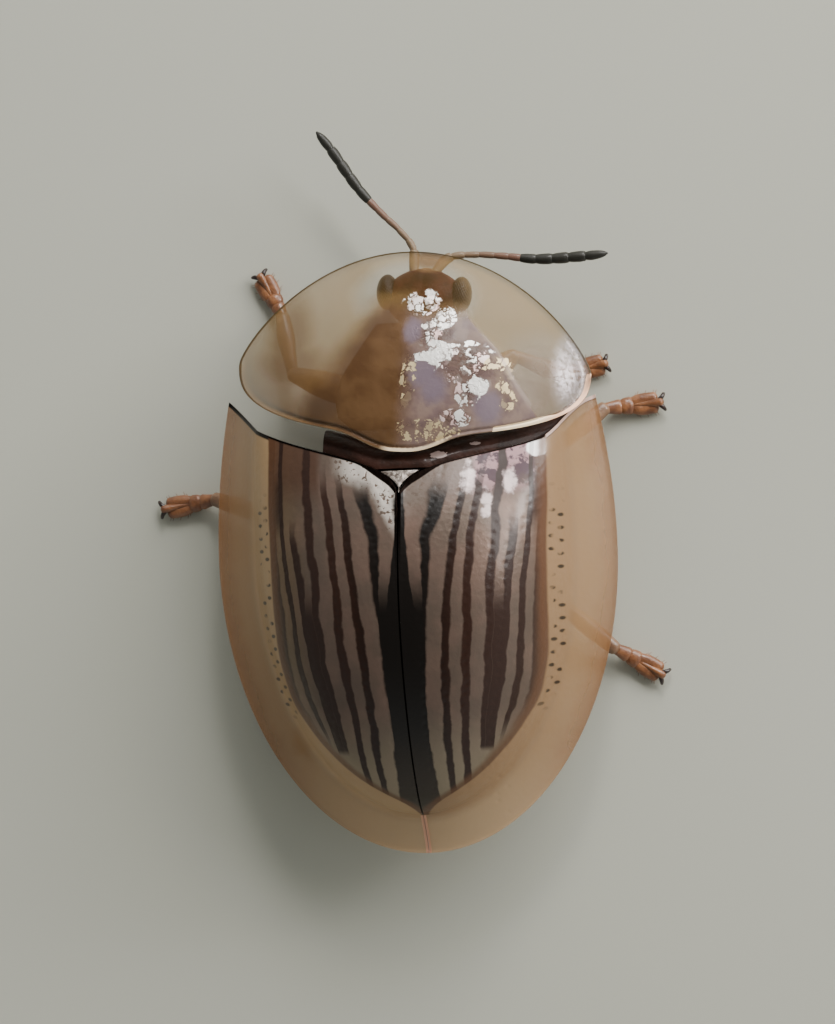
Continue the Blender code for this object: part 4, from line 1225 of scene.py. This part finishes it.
def body_finish():
    made = Finish("dark_skin", roughness=0.45, coat=0.12, Coat_Roughness=0.12, Specular_IOR_Level=0.12)
    tint = made.attribute("tint")
    cloud = made.noise(0.25, 4.0)
    band = cloud.step(0.35, 0.7).mix(screen(38, 22, 15), screen(62, 36, 28))
    under = cloud.step(0.3, 0.7).mix(screen(50, 33, 24), screen(76, 50, 34))
    x, y, z = made.position()
    # Two pale patches on top of the dark band, on the right: painted highlights.
    band_highlight = patch(x, y, (-0.42, -1.05), (0.09, 0.04)).most(patch(x, y, (-0.80, -1.16), (0.06, 0.02)))
    band_highlight = (band_highlight + (made.noise(0.05, 2.0) - 0.5) * 1.4).step(0.5, 0.6) * z.step(1.2, 1.4)
    band = band_highlight.mix(band, screen(156, 136, 130))
    front = cloud.step(0.3, 0.7).mix(screen(118, 90, 62), screen(98, 70, 46))
    under = tint.band(0.36, 0.44).mix(under, front)
    made.feed(Base_Color=tint.step(0.05, 0.25).mix(band, under))
    made.bump(made.cells(0.05) * 0.5 + made.noise(0.03), 0.006)
    return made.material


body_material = body_finish()
for piece in body_pieces:
    piece.data.materials.append(body_material)

# %% [markdown]
# ## The small triangle
# The scutellum is a pale plate a third of a millimetre long, wedged between the wing cases. It is a sheet whose
# rows shrink towards its tip, a little domed, on the same silvery ground as the stripes.

# %% Build the scutellum
PLATE_GAP = 0.022         # the dark joint between the plate and each wing case


def build_scutellum(rows=40, columns=41):
    u = np.linspace(0.0, 0.4, 400)
    edge_x = CASE_GAP + (DISC_FRONT[0] - CASE_GAP) * u
    edge_y = lerp(SUTURE_FRONT, DISC_FRONT[1], u) - base_bulge(u)
    y = np.linspace(SCUTELLUM_FRONT + 0.005, -0.66, rows)[:, None]
    half = np.interp(-y, -edge_y, edge_x) - PLATE_GAP
    across = np.linspace(-1, 1, columns)[None, :]
    x, y = across * np.clip(half, 0.004, 0.20), y + 0 * across
    z = RIM_Z + crest_rise(y) - 0.02 + 0.02 * (1 - across**2) * smooth_step(-0.66, -0.8, y)
    points = np.concatenate([np.stack([x, y, z], 2).reshape(-1, 3), np.stack([x, y, z - 0.12], 2).reshape(-1, 3)])
    piece = make_piece("scutellum_plate", points, sheet_faces(rows, columns), sharp=40)
    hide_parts("scutellum")
    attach(piece, "root")
    return piece


def plate_finish():
    made = Finish("scutellum_silver", roughness=0.36, coat=0.4, Coat_Roughness=0.06, metallic=0.3)
    spots = made.noise(0.05, 3.0).step(0.40, 0.60)
    made.feed(Base_Color=spots.mix(screen(100, 88, 80), screen(186, 174, 164)))
    made.bump(spots, 0.005)
    return made.material


scutellum = build_scutellum()
scutellum.data.materials.append(plate_finish())

# %% [markdown]
# ## The head
# The head hangs under the shield, face down and forward: a rounded capsule, flattened in front, with bulging
# eyes at its sides, a clypeus and upper lip, two jaws and jointed palps. The capsule is an ellipsoid reshaped
# by a function of direction, which keeps it one smooth surface.

# %% Build the head
HEAD_AT, HEAD_SIZE = np.array([-0.055, -2.80, 0.68]), (0.43, 0.34, 0.265)


def capsule_shape(unit):
    x, y, z = unit[..., 0], unit[..., 1], unit[..., 2]
    face = 0.05 * smooth_step(0.3, 0.9, -y)
    groove = 0.045 * hump(0, 0.07, x) * smooth_step(0.1, 0.5, -y) * smooth_step(-0.4, 0.3, z)
    sockets = 0.06 * hump(0.22, 0.12, np.abs(x)) * hump(-0.35, 0.18, z) * smooth_step(0.4, 0.8, -y)
    return 1 - face - groove - sockets


def mouth_parts():
    x, y, z = HEAD_AT
    parts = [(*rod([[x - 0.15, y - 0.24, z - 0.12, 0.05], [x, y - 0.27, z - 0.13, 0.065],
                    [x + 0.15, y - 0.24, z - 0.12, 0.05]], flat=0.8), 0.3)]
    parts.append((*egg((x, y - 0.22, z - 0.22), (0.13, 0.07, 0.075)), 0.45))
    for way in (-1, 1):
        jaw = [[x + way * 0.15, y - 0.15, z - 0.22, 0.06], [x + way * 0.11, y - 0.22, z - 0.29, 0.045],
               [x + way * 0.03, y - 0.23, z - 0.33, 0.018]]
        parts.append((*rod(jaw, flat=0.7), 0.8))
        joint = np.array([x + way * 0.19, y - 0.10, z - 0.22])
        for reach, radius in ((0.07, 0.028), (0.06, 0.032), (0.07, 0.026)):
            following = joint + np.array([way * 0.25, -0.55, -0.72]) * reach
            parts.append((*rod([[*joint, radius * 0.7], [*following, radius]], sides=14), 0.2))
            joint = following
    return parts


def build_head():
    parts = [(*egg(HEAD_AT, HEAD_SIZE, 60, 96, capsule_shape), 0.5), *mouth_parts()]
    points, faces, tints = join_parts(parts)
    piece = make_piece("head_capsule", turn_with_shield(points), faces, {"tint": tints}, sharp=50)
    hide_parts("head")
    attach(piece, "root")
    return piece


def head_finish():
    made = Finish("head_brown", roughness=0.5, coat=0.05, Coat_Roughness=0.12, Specular_IOR_Level=0.12)
    tint = made.attribute("tint")
    cloud = made.noise(0.15, 4.0)
    skin = cloud.step(0.3, 0.7).mix(screen(88, 44, 32), screen(62, 32, 24))
    colour = tint.step(0.2, 0.48).mix(screen(150, 98, 58), skin)
    made.feed(Base_Color=tint.step(0.6, 0.75).mix(colour, screen(40, 24, 18)))
    made.bump(made.cells(0.035) * 0.6 + made.noise(0.02) * 0.4, 0.006)
    return made.material


head = build_head()
head.data.materials.append(head_finish())

# %% [markdown]
# Each eye is a bean of hundreds of tiny lenses. Laid out as points on a spiral, like the seeds of a sunflower,
# the lenses are evenly spread, and the surface swells round each one, so the facets are real geometry.

# %% Build the eyes
EYE_AT, EYE_SIZE = (0.41, -2.85, 0.72), (0.115, 0.19, 0.165)


def build_eye(name, way, lenses=420):
    centre = np.array([HEAD_AT[0] + way * EYE_AT[0], EYE_AT[1], EYE_AT[2]])
    number = np.arange(lenses) + 0.5
    height = 1 - 2 * number / lenses
    angle = number * math.pi * (3 - math.sqrt(5))
    ring = np.sqrt(1 - height**2)
    seeds = np.stack([height * way, ring * np.cos(angle), ring * np.sin(angle)], axis=1)

    def lens_swell(unit):
        nearest = np.max(unit.reshape(-1, 3) @ seeds.T, axis=1).reshape(unit.shape[:2])
        return 1 + 0.035 * smooth_step(0.993, 1.0, nearest)

    points, faces = egg(centre, EYE_SIZE, 90, 130, lens_swell)
    piece = make_piece(name + "_lenses", turn_with_shield(points), faces)
    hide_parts(name)
    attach(piece, "root")
    return piece


def eye_finish():
    made = Finish("eye_black", roughness=0.35, coat=0.5, Coat_Roughness=0.03, Specular_IOR_Level=0.1)
    made.feed(Base_Color=made.noise(0.08).mix(screen(22, 14, 12), screen(46, 26, 20)))
    return made.material


eye_material = eye_finish()
for name, way in (("eye_left", 1), ("eye_right", -1)):
    build_eye(name, way).data.materials.append(eye_material)

# %% [markdown]
# ## Floor and light
# A plain pale floor and one large soft lamp at the beetle's right, as in the photograph, so that the shadow
# falls softly to the left. Two small lamps add sharp glints to the gloss, and a dim world fills in the rest.
# A lamp's power counts in watts, and at this scale a few hundredths of a watt are plenty.

# %% Floor, lamps and background
FLOOR_HALF, ROOM_LIGHT = 400.0, 0.52
LAMPS = {                 # place, size, watts and colour
    "window": ((-36, -41, 30), (84, 36), 0.056, (1.0, 0.99, 0.97)),
    "glint": ((-10, -50, 35), (9, 14), 0.010, (1.0, 0.99, 0.98)),
    "spark": ((-54, -22, 22), (9, 9), 0.006, (1.0, 0.99, 0.98)),
}


def build_floor():
    corners = [(-FLOOR_HALF, -FLOOR_HALF, 0), (FLOOR_HALF, -FLOOR_HALF, 0), (FLOOR_HALF, FLOOR_HALF, 0),
               (-FLOOR_HALF, FLOOR_HALF, 0)]
    mesh = bpy.data.meshes.new("floor")
    mesh.from_pydata([[value * MM for value in corner] for corner in corners], [], [(0, 1, 2, 3)])
    floor = bpy.data.objects.new("floor", mesh)
    bpy.context.scene.collection.objects.link(floor)
    made = Finish("pale_floor", roughness=0.6)
    made.feed(Base_Color=made.noise(6.0, 2.0).mix(screen(198, 198, 183), screen(204, 203, 190)))
    mesh.materials.append(made.material)


def soft_lamp(name, place, size, watts, colour):
    data = bpy.data.lights.new(name, "AREA")
    data.shape, data.energy, data.color = "RECTANGLE", watts, colour
    data.size, data.size_y = size[0] * MM, size[1] * MM
    lamp = bpy.data.objects.new(name, data)
    bpy.context.scene.collection.objects.link(lamp)
    lamp.location = Vector(place) * MM
    lamp.rotation_euler = (TARGET - Vector(place)).to_track_quat("-Z", "Y").to_euler()
    print(name, size, "mm,", watts, "W")


def light_from_all_round():
    """A dim world, darkest straight above, so that a dark shell stays dark there."""
    world = bpy.data.worlds.new("room")
    bpy.context.scene.world = world
    world.use_nodes = True
    start = Wire(world.node_tree)
    way = start.node("ShaderNodeTexCoord")
    x, y, z = (start.node("ShaderNodeSeparateXYZ", {}, {0: way}, out) for out in range(3))
    strength = ROOM_LIGHT * (1 - z.step(0.5, 0.9) * 0.7) * (1.0 - x * 0.4 - y * 0.1)
    background = world.node_tree.nodes["Background"]
    background.inputs["Color"].default_value = (0.97, 1.0, 0.95, 1.0)
    world.node_tree.links.new(strength.socket, background.inputs["Strength"])
    print("world strength about", ROOM_LIGHT)


build_floor()
for lamp_name, settings in LAMPS.items():
    soft_lamp(lamp_name, *settings)
light_from_all_round()
